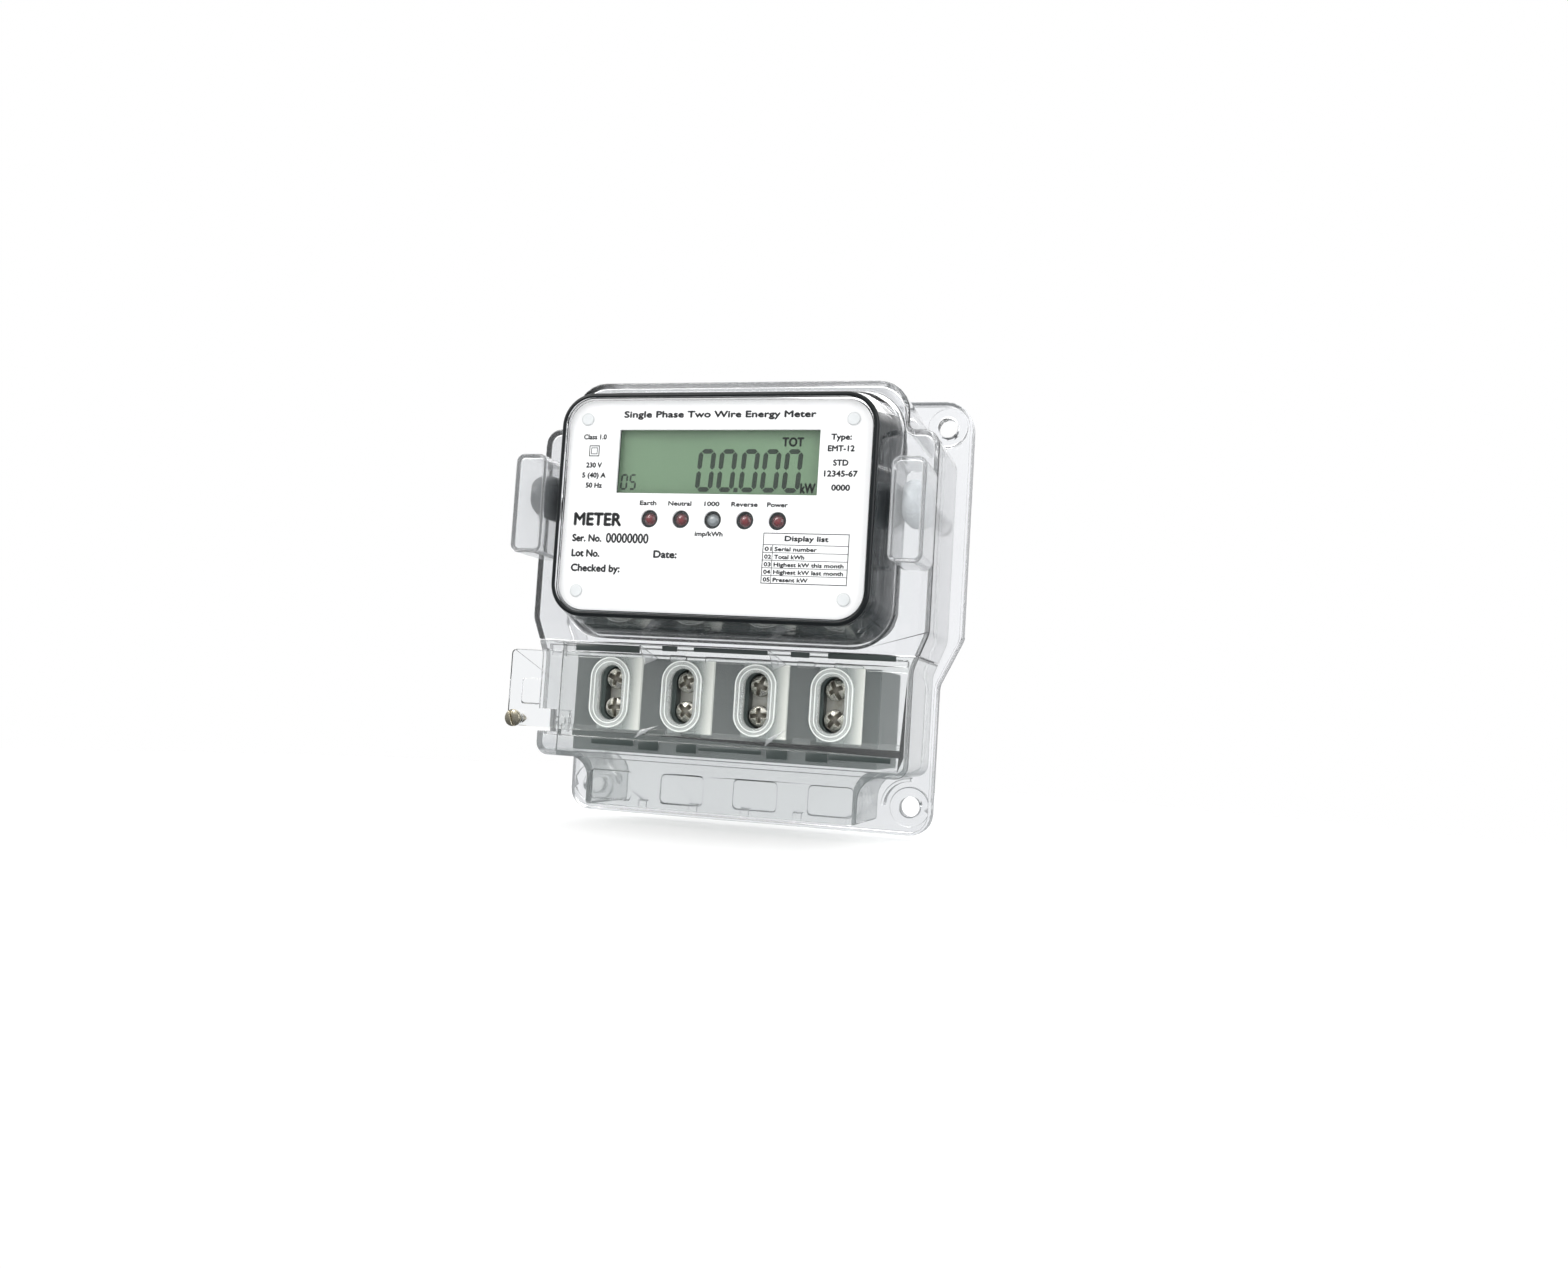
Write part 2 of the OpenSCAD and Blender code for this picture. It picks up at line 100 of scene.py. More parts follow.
def add_piece(name, points, faces, finish, slot, stands_for=(), body="case", smooth=True):
    """A new mesh piece from points in millimetres, riding on a CAD body."""
    mesh = bpy.data.meshes.new(name)
    mesh.from_pydata(np.asarray(points, float) * MM, [], [tuple(f) for f in faces])
    mesh.materials.append(finish)
    mesh.polygons.foreach_set("use_smooth", [smooth] * len(mesh.polygons))
    return put(name, mesh, body, stands_for)


def put(name, mesh, body, stands_for=()):
    """An object for a finished mesh, attached to its body, that hides the CAD nodes it stands for.
    """
    mesh.validate()
    mesh.update()
    piece = bpy.data.objects.new(name, mesh)
    bpy.context.scene.collection.objects.link(piece)
    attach(piece, body)
    if stands_for:
        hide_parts(*stands_for)
    return piece


def grid_faces(rows, columns, closed_rows=False):
    """Quads of a grid of points whose rows run round and close, as index arrays.

    With closed_rows the last row meets the first.
    """
    last = rows if closed_rows else rows - 1
    r, c = np.meshgrid(np.arange(last), np.arange(columns), indexing="ij")
    r, c = r.ravel(), c.ravel()
    up, on = (r + 1) % rows, (c + 1) % columns
    return np.stack([r * columns + c, r * columns + on, up * columns + on, up * columns + c], 1)


def lofted(rings, caps=True, closed_rows=False):
    """Surface through rings of points, shaped rings x points x 3.

    Quads join each ring to the next, and a flat cap closes each end.
    """
    rows, columns = rings.shape[:2]
    faces = [tuple(f) for f in grid_faces(rows, columns, closed_rows=closed_rows)]
    if caps and not closed_rows:
        faces += [tuple(range(columns))[::-1], tuple(range((rows - 1) * columns, rows * columns))]
    return rings.reshape(-1, 3), faces


def rounded_loop(width, height, radius, corner=10):
    """Rounded rectangle in X and Z as (points, 2).

    Quarter circles of the radius about four centres, counter-clockwise from the upper right.
    """
    angle = np.linspace(0, math.pi / 2, corner)
    arc = np.stack([np.cos(angle), np.sin(angle)], 1) * radius
    turns = [(1, 1, 0), (-1, 1, 1), (-1, -1, 2), (1, -1, 3)]
    loops = []
    for sx, sz, quarter in turns:
        turned = arc @ np.linalg.matrix_power(np.array([[0, 1], [-1, 0]]), quarter)
        loops.append(turned + [sx * (width / 2 - radius), sz * (height / 2 - radius)])
    return np.concatenate(loops)


def placed(loop, x, y, z):
    """A flat (points, 2) loop stood upright at depth y, with its centre at x and z."""
    return np.stack([loop[:, 0] + x, np.full(len(loop), float(y)), loop[:, 1] + z], 1)


def revolved(profile, around=48):
    """Rings of a surface of revolution about the Y axis.

    Each (radius, depth) of the profile becomes a ring of points at equal angles.
    """
    profile = np.asarray(profile, float)
    angle = np.linspace(0, 2 * math.pi, around, endpoint=False)
    radius, depth = profile[:, :1], profile[:, 1:]
    return np.stack([radius * np.cos(angle), depth + 0 * angle, radius * np.sin(angle)], 2)


def joined(parts):
    """One list of points and faces from several (points, faces)."""
    points, faces, start = [], [], 0
    for some, corners in parts:
        points.append(np.asarray(some, float))
        faces += [tuple(start + i for i in face) for face in corners]
        start += len(some)
    return np.concatenate(points), faces


def box_part(lo, hi, round_by):
    """Box between two corners: rings of rounded rectangles along Y, smaller at both ends."""
    lo, hi = np.asarray(lo, float), np.asarray(hi, float)
    (x, _, z), (wide, _, tall) = (lo + hi) / 2, hi - lo
    # Inset of each ring and its depth
    steps = [(0.7 * round_by, lo[1]), (0.2 * round_by, lo[1] + 0.3 * round_by)]
    steps += [(0, lo[1] + round_by), (0, hi[1] - round_by), (0.7 * round_by, hi[1])]
    rings = []
    for inset, depth in steps:
        corner = max(round_by - inset, 0.02)
        loop = rounded_loop(wide - 2 * inset, tall - 2 * inset, corner, 4)
        rings.append(placed(loop, x, depth, z))
    return lofted(np.array(rings))


def softened(
    name, nodes, finish, edge, segments=3, body="case", limit=34, pairs=False
):
    """A copy of CAD nodes that stands for them.

    Its loose triangles are joined, flat areas merged, and every edge sharper than limit degrees is
    rounded by edge millimetres. With pairs, triangles are merged only two at a time and only
    outward edges are rounded, for plates with many holes.
    """
    joint = bmesh.new()
    for node in nodes:
        joint.from_mesh(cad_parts[node].data)
    bmesh.ops.remove_doubles(joint, verts=joint.verts, dist=WELD)
    flat = math.radians(FLAT_ANGLE)
    if pairs:
        bmesh.ops.join_triangles(
            joint, faces=joint.faces, angle_face_threshold=flat, angle_shape_threshold=math.pi
        )
        rounded = joint.edges.layers.float.new("bevel_weight_edge")
        for line in joint.edges:
            sharp = line.calc_face_angle(0) > math.radians(limit)
            line[rounded] = sharp and line.is_convex
            line.smooth = not sharp or line.is_convex
    else:
        bmesh.ops.dissolve_limit(joint, angle_limit=flat, verts=joint.verts, edges=joint.edges)
    mesh = bpy.data.meshes.new(name)
    joint.to_mesh(mesh)
    joint.free()
    mesh.materials.clear()
    mesh.materials.append(finish)
    mesh.polygons.foreach_set("use_smooth", [True] * len(mesh.polygons))
    mesh.polygons.foreach_set("material_index", [0] * len(mesh.polygons))
    draft = bpy.data.objects.new(name + "_draft", mesh)
    bpy.context.scene.collection.objects.link(draft)
    rounding = draft.modifiers.new("Rounding", "BEVEL")
    rounding.width = edge * MM
    rounding.segments = segments
    rounding.limit_method = "WEIGHT" if pairs else "ANGLE"
    rounding.angle_limit = math.radians(limit)
    rounding.use_clamp_overlap = False
    shading = draft.modifiers.new("Shading", "WEIGHTED_NORMAL")
    shading.weight, shading.keep_sharp = 100, pairs
    finished = bpy.data.meshes.new_from_object(
        draft.evaluated_get(bpy.context.evaluated_depsgraph_get())
    )
    finished.name = name
    bpy.data.objects.remove(draft)
    # Blender adds a dot and a number to a finish's name where a CAD material has it already
    return put(name, finished, body, nodes)


def rounded_edges(piece, width, segments):
    """Rounds a piece's edges sharper than 30 degrees by width millimetres."""
    rounding = piece.modifiers.new("Rounding", "BEVEL")
    rounding.width, rounding.segments = width * MM, segments
    rounding.limit_method, rounding.angle_limit = "ANGLE", math.radians(30)


def flat_text(words, x, z, cap, bold, fit, align="CENTER"):
    """Words as flat faces in X and Z, with capitals cap high, centred or starting at x.

    They are squeezed or stretched to the width that fit gives. Bold letters are laid down five
    times, moved by bold millimetres each way.
    """
    curve = bpy.data.curves.new("words", "FONT")
    curve.body = words
    curve.size = cap / CAP_SHARE
    curve.resolution_u = 3
    holder = bpy.data.objects.new("words", curve)
    bpy.context.scene.collection.objects.link(holder)
    mesh = bpy.data.meshes.new_from_object(
        holder.evaluated_get(bpy.context.evaluated_depsgraph_get())
    )
    flat = np.empty(len(mesh.vertices) * 3)
    mesh.vertices.foreach_get("co", flat)
    flat = flat.reshape(-1, 3)[:, :2]
    faces = [tuple(p.vertices) for p in mesh.polygons]
    bpy.data.objects.remove(holder)
    bpy.data.curves.remove(curve)
    bpy.data.meshes.remove(mesh)
    left, right = flat[:, 0].min(), flat[:, 0].max()
    stretch = fit / (right - left)
    start = {"CENTER": (left + right) / 2, "LEFT": left}[align]
    points = np.stack([(flat[:, 0] - start) * stretch + x, 0 * flat[:, 0], flat[:, 1] + z], 1)
    moves = [(0, 0), (1, 0), (-1, 0), (0, 1), (0, -1)]
    return joined([(points + [bold * mx, 0, bold * mz], faces) for mx, mz in moves])


def flat_bar(x0, z0, x1, z1):
    """Upright rectangle between two corners in X and Z."""
    points = np.array([[x0, 0, z0], [x1, 0, z0], [x1, 0, z1], [x0, 0, z1]], float)
    return points, [(0, 1, 2, 3)]


# Finishes --------------------------------------------------------------------------------------


class Wire:
    """A value in a finish's nodes. Sums and products of it add Math nodes to the same finish."""

    def __init__(self, finish, socket):
        self.finish, self.socket = finish, socket

    def math(self, operation, *values):
        return self.finish.node("Math", {"operation": operation}, dict(enumerate(values)))

    def __add__(self, other):
        return self.math("ADD", self, other)

    def __sub__(self, other):
        return self.math("SUBTRACT", self, other)

    def __rsub__(self, other):
        return self.math("SUBTRACT", other, self)

    def __mul__(self, other):
        return self.math("MULTIPLY", self, other)

    __radd__ = __add__
    __rmul__ = __mul__

    def __getitem__(self, output):
        return Wire(self.finish, self.socket.node.outputs[output])


class Finish:
    """One material or world, made of nodes that this class adds and wires."""

    def __init__(self, name, kind="materials"):
        self.owner = getattr(bpy.data, kind).new(name)
        self.owner.use_nodes = True
        self.tree = self.owner.node_tree
        self.tree.nodes.clear()
        self.place = self.node("TexCoord")["Object" if kind == "materials" else "Generated"]

    def node(self, kind, settings=None, sockets=None):
        """Adds a node and gives its first output.

        Settings are its own properties or a ramp's stops, sockets its inputs' values or wires.
        """
        made = self.tree.nodes.new("ShaderNode" + kind)
        for name, value in (settings or {}).items():
            if name == "stops":
                ramp = made.color_ramp.elements
                while len(ramp) < len(value):
                    ramp.new(0.5)
                for stop, (position, colour) in zip(ramp, value):
                    stop.position, stop.color = position, colour
            else:
                setattr(made, name, value)
        for name, value in (sockets or {}).items():
            if isinstance(value, Wire):
                self.tree.links.new(value.socket, made.inputs[name])
            else:
                made.inputs[name].default_value = value
        return Wire(self, made.outputs[0] if made.outputs else None)

    def noise(self, scale, detail=3.0, stretch=(1, 1, 1)):
        """Cloudy value from 0 to 1, with scale features to the metre."""
        where = self.node("Mapping", None, {"Vector": self.place, "Scale": stretch})
        return self.node("TexNoise", None, {"Vector": where, "Scale": scale, "Detail": detail})

    def step(self, value, start, end):
        """0 below start, 1 above end and a smooth rise between them."""
        settings = {"interpolation_type": "SMOOTHSTEP"}
        return self.node("MapRange", settings, {"Value": value, "From Min": start, "From Max": end})

    def mix(self, share, first, second):
        """Colour between two colours."""
        sockets = {0: share, 6: opaque(first), 7: opaque(second)}
        return self.node("Mix", {"data_type": "RGBA"}, sockets)[2]

    def bump(self, height, strength, depth):
        """Normal of a relief whose height is a value and whose depth is in millimetres."""
        sockets = {"Height": height, "Strength": strength, "Distance": depth * MM}
        return self.node("Bump", None, sockets)

    def surface(self, sockets):
        """Principled shader with these values or wires."""
        return self.node("BsdfPrincipled", None, sockets)

    def plain(self, sockets):
        """The finished material of one Principled shader."""
        return self.done(self.surface(sockets))

    def done(self, shader, output="OutputMaterial"):
        """The finished material or world, with the shader on its output."""
        self.node(output, None, {"Surface": shader})
        return self.owner


def opaque(colour):
    """A colour of three numbers with full alpha; anything else as it is."""
    return colour if isinstance(colour, Wire) else (*tuple(colour)[:3], 1.0)


def toned(colour, by):
    """A colour made lighter or darker by a factor."""
    return [min(1.0, channel * by) for channel in tuple(colour)[:3]]


def moulded(
    name, colour, roughness=0.4, grain=2600, relief=0.04, variation=0.16, coat=0.0, shine=0.5
):
    """Moulded plastic: cloudy colour, fine grain in relief and gloss, and paler rubbed patches."""
    finish = Finish(name)
    cloud, speck = finish.noise(60, 4), finish.noise(grain, 2)
    rubbed = finish.step(finish.noise(170, 8), 0.56, 0.74)
    dark, light = toned(colour, 1 - variation), toned(colour, 1 + variation)
    body = finish.mix(cloud * 0.7 + speck * 0.3, dark, light)
    tone = finish.mix(rubbed * 0.25, body, toned(colour, 1.6))
    return finish.plain(
        {
            "Base Color": tone,
            "Roughness": roughness + (speck - 0.5) * 0.16 + rubbed * 0.1,
            "Specular IOR Level": shine,
            "Coat Weight": coat,
            "Coat Roughness": 0.12,
            "Normal": finish.bump(speck, 0.5, relief),
        }
    )


def metal(name, colour, roughness, tarnish=(0.2, 0.17, 0.12), solid=1.0):
    """Plated or bare metal: fine drawn lines, cloudy brightness and patches of dull tarnish.

    A solid share under 1 gives a soft white diffuse share; on the terminals it stands for their
    pale plating and for painted light down the wells.
    """
    finish = Finish(name)
    cloud, drawn = finish.noise(260, 5), finish.noise(700, 3, (1, 1, 30))
    dull = finish.step(finish.noise(420, 6), 0.52, 0.72)
    bright = finish.mix(cloud, toned(colour, 0.82), toned(colour, 1.12))
    return finish.plain(
        {
            "Base Color": finish.mix(dull * 0.5, bright, tarnish),
            "Metallic": solid - dull * 0.2,
            "Roughness": roughness + drawn * 0.12 + dull * 0.22,
            "Normal": finish.bump(drawn, 0.25, 0.03),
        }
    )


def through(finish, glass, tint):
    """Glass that lamps and diffuse light pass straight through: what is inside stays lit."""
    open_side = finish.node("BsdfTransparent", None, {"Color": opaque(tint)})
    path = finish.node("LightPath")
    lit = finish.node("MixShader", None, {0: path["Is Shadow Ray"], 1: glass, 2: open_side})
    return finish.node("MixShader", None, {0: path["Is Diffuse Ray"], 1: lit, 2: open_side})


# Half width and half height of the polished front box, and the foot where the haze thickens and
# is painted darker grey as shade, in metres, each as the start and the end of a smooth step
POLISHED_WIDE = (0.0535, 0.0545)
POLISHED_TALL = (0.039, 0.040)
HAZE_AND_SHADE_FOOT = (-0.044, -0.05)


def clear_plastic(name, tint, haze=0.016, box=False):
    """Clear moulded polycarbonate with a faint grey tint in clouds and flow ripple.

    Hairline scuffs and a fine haze dull it, the haze thickest towards the foot, where it is also
    painted darker grey as shade. With box it is polished where it covers the front box.
    """
    finish = Finish(name)
    flow, fine = finish.noise(38, 3, (1, 1, 0.5)), finish.noise(900, 6)
    scuffs = finish.step(finish.noise(520, 4, (1, 1, 14)), 0.66, 0.8)
    place = finish.node("SeparateXYZ", None, {"Vector": finish.place})
    dull = 1.0
    if box:
        beside = finish.step(place.math("ABSOLUTE", place["X"]), *POLISHED_WIDE)
        height = place["Z"] - FACE.z * MM
        above = finish.step(height.math("ABSOLUTE", height), *POLISHED_TALL)
        dull = beside.math("MAXIMUM", beside, above)
    # Rises towards the foot: thicker haze, and painted shade in the milk's colour
    foot = finish.step(place["Z"], *HAZE_AND_SHADE_FOOT)
    glass = finish.surface(
        {
            "Base Color": finish.mix(flow * dull, toned(tint, 1.02), toned(tint, 0.985)),
            "Roughness": 0.004 + (0.04 + fine * 0.04 + scuffs * 0.12) * dull,
            "IOR": 1.5,
            "Transmission Weight": 1.0,
            "Normal": finish.bump(flow * dull, 0.5, 0.05),
        }
    )
    # Milk: pale above, painted dark grey towards the foot as shade underneath
    milk = finish.surface(
        {
            "Base Color": finish.mix(foot, (0.8, 0.82, 0.83), (0.4, 0.43, 0.44)),
            "Roughness": 0.3 + fine * 0.2,
        }
    )
    share = (haze + flow * haze + foot * 0.07) * dull
    cloudy = finish.node("MixShader", None, {0: share, 1: glass, 2: milk})
    return finish.done(through(finish, cloudy, toned(tint, 0.99)))


def frosted_plastic(name, colour, crest, valley, least=0.34, most=0.8):
    """Milky half-clear plastic with fine grain and cloudy whiteness.

    It is densest on what lies in front of the crest depth and thin behind the valley depth, both
    in millimetres, and its colour is painted paler in front and darker behind as shade in the
    valley and down the well.
    """
    finish = Finish(name)
    cloud, fine = finish.noise(140, 4), finish.noise(1800, 3)
    depth = finish.node("SeparateXYZ", None, {"Vector": finish.place})["Y"]
    ridge = finish.step(depth, valley * MM, crest * MM)
    # Painted shade: darker behind the valley depth, in the valley and down the well; paler on the
    # crest
    tone = finish.mix(ridge * 0.8 + cloud * 0.2, toned(colour, 0.9), toned(colour, 1.16))
    return finish.plain(
        {
            "Base Color": tone,
            "Roughness": 0.16 + fine * 0.1,
            "Coat Weight": 0.6,
            "Coat Roughness": 0.08,
            "Alpha": least + ridge * (most - least) + cloud * 0.16 - 0.08,
            "Normal": finish.bump(fine, 0.2, 0.01),
        }
    )


# Sizes and colours that a user would change ------------------------------------------------------


def size(name, description, default, least, most):
    """A length setting of the meter."""
    about = description + ", in millimetres"
    return bpy.props.FloatProperty(
        name=name, description=about, default=default, min=least, max=most
    )


class MeterSizes(bpy.types.PropertyGroup):
    """Sizes of the finishing work on the meter"""

    case_edge: size("Case edge", "Radius on the edges of the clear mouldings", 0.5, 0.1, 0.6)
    line_width: size("Face line", "Width of the dark line round the face", 1.45, 0.4, 1.8)
    digit_height: size("Digit height", "Height of the display's large digits", 13.0, 8, 15)
    ink_height: size("Print height", "Distance of the print from the label", 0.04, 0.01, 0.1)
    digit_lean: bpy.props.FloatProperty(
        name="Digit lean",
        description="Sideways lean of the digits, as a share of their height",
        default=0.06,
        min=0,
        max=0.2,
        subtype="FACTOR",
    )


def shade(name, description, colour):
    """A colour setting of the meter."""
    return bpy.props.FloatVectorProperty(
        name=name, description=description, default=colour, subtype="COLOR", size=3, min=0, max=1
    )


class MeterColours(bpy.types.PropertyGroup):
    """Colours of the meter"""

    case: shade("Case", "Tint of the clear case", (0.966, 0.968, 0.972))
    shutter: shade("Shutter", "Tint of the terminal shutter", (0.965, 0.97, 0.965))
    tub: shade("Frame", "Dark frame behind the face", (0.011, 0.015, 0.016))
    plate: shade("Label", "Label plate", (0.96, 0.96, 0.955))
    ink: shade("Ink", "Print on the label", (0.03, 0.032, 0.036))
    display: shade("Display", "Display background", (0.155, 0.255, 0.15))
    digits: shade("Digits", "Display digits", (0.012, 0.028, 0.014))
    lamp: shade("Lamps", "Red lamps", (0.075, 0.006, 0.009))
    block: shade("Block", "Terminal block", (0.05, 0.066, 0.063))
    board: shade("Board", "Circuit board", (0.012, 0.13, 0.05))


# Pieces ------------------------------------------------------------------------------------------


class METER_OT_clear_case(bpy.types.Operator):
    """Clear covers, base plate and seal caps, with every edge rounded"""

    bl_idname = "meter.clear_case"
    bl_label = "Clear case"

    def execute(self, context):
        sizes, colours = context.scene.meter_sizes, context.scene.meter_colours
        case = clear_plastic("clear_case", colours.case, box=True)
        edge = sizes.case_edge
        softened("case_base", ["base_plate"], case, edge * 0.8, pairs=True)
        softened("case_front", ["main_cover"], case, edge)
        zone = clear_plastic("clear_terminal_zone", (0.95, 0.958, 0.951), 0.034)
        softened("case_terminal_front", ["terminal_cover"], zone, edge * 0.6)
        guide = clear_plastic("clear_guide", colours.case, 0.07)
        softened("case_shutter_guide", ["shutter_guide"], guide, edge * 0.5)
        cap = clear_plastic("clear_cap", colours.case, 0.055)
        for side in ("left", "right"):
            softened(f"case_cap_{side}", [f"seal_cap_{side}"], cap, edge)
        return {"FINISHED"}


BOX_MARGIN = 3.6  # how much wider and taller than the label the clear box is at its front
BOX_DEPTH = 19.5  # depth over which the box's sides flare out
BOX_CORNER = 10  # radius of its corners at the front


def box_ring(inset, depth, flare, corner):
    """Ring of points inside the clear box by inset, at a depth.

    The box widens by 8, its height grows by 10 and its corner radius by 3 where flare is 1.
    """
    wide = FACE_SIZE.x + BOX_MARGIN + 8 * flare - 2 * inset
    tall = FACE_SIZE.z + BOX_MARGIN + 10 * flare - 2 * inset
    loop = rounded_loop(wide, tall, BOX_CORNER + 3 * flare - inset, corner)
    return placed(loop, FACE.x, depth, FACE.z)


class METER_OT_face_line(bpy.types.Operator):
    """Dark band round the front edge of the clear cover: painted shade for how dark its rounded
    edge looks
    """

    bl_idname = "meter.face_line"
    bl_label = "Face line"

    def execute(self, context):
        width = context.scene.meter_sizes.line_width
        # Painted shade: the cover is clear here, and this band stands for the dark look of its
        # rounded edge
        ink = moulded("edge_shade_black", (0.006, 0.008, 0.009), 0.3, shine=0.3)
        # Inset from the outside of the clear box, depth behind its front: out along, then back
        profile = [(width, 0.02), (width * 0.55, -0.04), (0.3, 0.14), (0.0, 0.6), (-0.05, 1.15)]
        profile += [(0.1, 1.2), (0.35, 0.75), (0.6, 0.45), (width, 0.1)]
        rings = [box_ring(inset, BOX_FRONT + depth, 0, 14) for inset, depth in profile]
        points, faces = lofted(np.array(rings)[::-1], closed_rows=True)
        add_piece("face_line", points, faces, ink, "dark_plastic")
        return {"FINISHED"}


class METER_OT_frame(bpy.types.Operator):
    """Dark tub behind the face, stepped along its sides, with a window for the display"""

    bl_idname = "meter.frame"
    bl_label = "Dark frame"

    def execute(self, context):
        tub = moulded("dark_plastic", context.scene.meter_colours.tub, 0.2, 1500, 0.008, shine=0.2)
        front = low("inner_frame").y
        length = high("inner_frame").y - front
        window, opening = middle("lcd_glass"), (63.6, 20.2)
        # Inset from the outside of the clear box, depth behind the tub's front
        sides = [(2.6, 0), (1.95, 0.5), (1.9, 6.6), (2.5, 7.2), (2.5, 8.6), (1.95, 9.2)]
        sides += [(1.9, 17.4), (3.3, 18.2), (3.3, length)]
        inner = [(4.6, length), (4.6, 17.8), (3.9, 1.9)]

        hole = rounded_loop(*opening, 0.6, 12)
        rings = [placed(hole, window.x, front + depth, window.z) for depth in (1.7, 0)]
        for inset, depth in sides + inner:
            flare = min((front + depth - BOX_FRONT) / BOX_DEPTH, 1)
            rings.append(box_ring(inset, front + depth, flare, 12))
        points, faces = lofted(np.array(rings)[::-1], closed_rows=True)
        piece = add_piece("frame_tub", points, faces, tub, "dark_plastic", ["inner_frame"])
        rounded_edges(piece, 0.15, 2)
        return {"FINISHED"}


# Print on the label by height of its capitals, boldness and alignment:
# words, x and z from the middle of the face, and width
PRINT = [
    (1.95, 0.14, "CENTER", [("Single Phase Two Wire Energy Meter", 0.2, 26.9, 60)]),
    (1.55, 0.09, "CENTER", [("Class 1.0", -38.9, 20.2, 7.4)]),
    (
        1.55,
        0.11,
        "CENTER",
        [("230 V", -38.7, 11.5, 5.0), ("5 (40) A", -38.5, 8.4, 7.6), ("50 Hz", -38.3, 5.3, 5.2)],
    ),
    (
        1.75,
        0.11,
        "CENTER",
        [
            ("Type:", 38.2, 20.2, 6.0),
            ("EMT-12", 38.3, 16.8, 7.8),
            ("STD", 38.4, 12.6, 4.4),
            ("12345-67", 38.6, 9.4, 9.8),
            ("0000", 38.8, 5.3, 5.4),
        ],
    ),
    (
        1.35,
        0.09,
        "CENTER",
        [
            ("Earth", -20.2, 0.2, 5.2),
            ("Neutral", -10.1, 0.2, 7.2),
            ("1000", 0.0, 0.2, 4.6),
            ("Reverse", 10.1, 0.2, 8.0),
            ("Power", 20.2, 0.2, 6.2),
        ],
    ),
    (1.4, 0.09, "CENTER", [("imp/kWh", -0.4, -8.8, 8.6)]),
    (3.9, 0.26, "LEFT", [("METER", -43.8, -6.2, 15.2)]),
    (3.0, 0.11, "LEFT", [("00000000", -33.0, -11.4, 13.6)]),
    (
        2.2,
        0.15,
        "LEFT",
        [
            ("Ser. No.", -44.0, -11.2, 9.4),
            ("Lot No.", -43.9, -15.8, 9.0),
            ("Date:", -17.3, -15.6, 7.2),
            ("Checked by:", -43.8, -20.3, 15.8),
        ],
    ),
    (1.5, 0.11, "CENTER", [("Display list", 29.6, -9.7, 13.0)]),
]
# Rows of the printed table: words, z and width
ROWS = [
    ("Serial number", -12.7, 12.6),
    ("Total kWh", -15.0, 9.0),
    ("Highest kW this month", -17.25, 20.8),
    ("Highest kW last month", -19.45, 20.8),
    ("Present kW", -21.7, 10.4),
]
# Lines of the printed table: x0, z0, x1, z1 from the middle of the face
RULES = [
    (16.5, -22.35, 42.3, -22.1),
    (16.5, -7.65, 42.3, -7.4),
    (16.5, -22.35, 16.75, -7.4),
    (42.05, -22.35, 42.3, -7.4),
    (16.5, -11.0, 42.3, -10.8),
    *((16.5, z, 42.3, z + 0.18) for z in (-13.3, -15.55, -17.8, -20.02)),
    (19.45, -22.35, 19.63, -10.9),
]


def square_outline(x, z, size, line):
    """Four bars that frame a square."""
    half = size / 2
    return [
        flat_bar(x - half, z - half, x + half, z - half + line),
        flat_bar(x - half, z + half - line, x + half, z + half),
        flat_bar(x - half, z - half + line, x - half + line, z + half - line),
        flat_bar(x + half - line, z - half + line, x + half, z + half - line),
    ]


class METER_OT_label(bpy.types.Operator):
    """White label plate with its print and rivets"""

    bl_idname = "meter.label"
    bl_label = "Label"

    def execute(self, context):
        sizes, colours = context.scene.meter_sizes, context.scene.meter_colours
        white = moulded("label_white", colours.plate, 0.32, 1800, 0.015, 0.02)
        softened("label", ["label_plate"], white, 0.12)
        pale = moulded("rivet_plastic", (0.72, 0.74, 0.74), 0.28, coat=0.3, variation=0.05)
        softened("label_rivet_heads", ["label_rivets"], pale, 0.35, 4)
        parts = [
            flat_text(words, x, z, cap, bold, fit, align)
            for cap, bold, align, lines in PRINT
            for words, x, z, fit in lines
        ]
        for number, (words, z, fit) in enumerate(ROWS, 1):
            parts.append(flat_text(f"0{number}", 17.2, z, 1.2, 0.08, 2.0, "LEFT"))
            parts.append(flat_text(words, 20.2, z, 1.2, 0.08, fit, "LEFT"))
        parts += [flat_bar(*rule) for rule in RULES]
        # Sign for double insulation: a square in a square
        parts += square_outline(-38.9, 16.6, 3.4, 0.3) + square_outline(-38.9, 16.6, 2.1, 0.25)
        points, faces = joined(parts)
        points += [FACE.x, PLATE_FRONT - sizes.ink_height, FACE.z]
        ink = moulded("label_ink", colours.ink, 0.5, 3000, 0.005, 0.2)
        add_piece("label_print", points, faces, ink, "label_white", smooth=False)
        return {"FINISHED"}


def digit_parts(x, z, width, height, bar, lean, marks):
    """Seven-segment digit: marks names the lit bars, a to g.

    Each is a six-sided bar with pointed ends and a small gap, and all lean sideways with height.
    """
    half, gap = bar / 2, 0.12 * bar
    left, right = x + half, x + width - half
    foot, mid, top = z + half, z + height / 2, z + height - half
    # Ends of each bar's middle line: X and Z of one end, then of the other
    ends = {
        "a": (left, top, right, top),
        "g": (left, mid, right, mid),
        "d": (left, foot, right, foot),
        "f": (left, mid, left, top),
        "b": (right, mid, right, top),
        "e": (left, foot, left, mid),
        "c": (right, foot, right, mid),
    }
    parts = []
    for mark in marks:
        start, stop = np.array(ends[mark], float).reshape(2, 2)
        along = (stop - start) / np.linalg.norm(stop - start)
        side = half * np.array([along[1], -along[0]])
        start, stop, point = start + gap * along, stop - gap * along, half * along
        outline = [start, start + point + side, stop - point + side, stop]
        outline += [stop - point - side, start + point - side]
        points = np.array([[px + (pz - z) * lean, 0, pz] for px, pz in outline])
        parts.append((points, [(0, 1, 2, 3, 4, 5)]))
    return parts


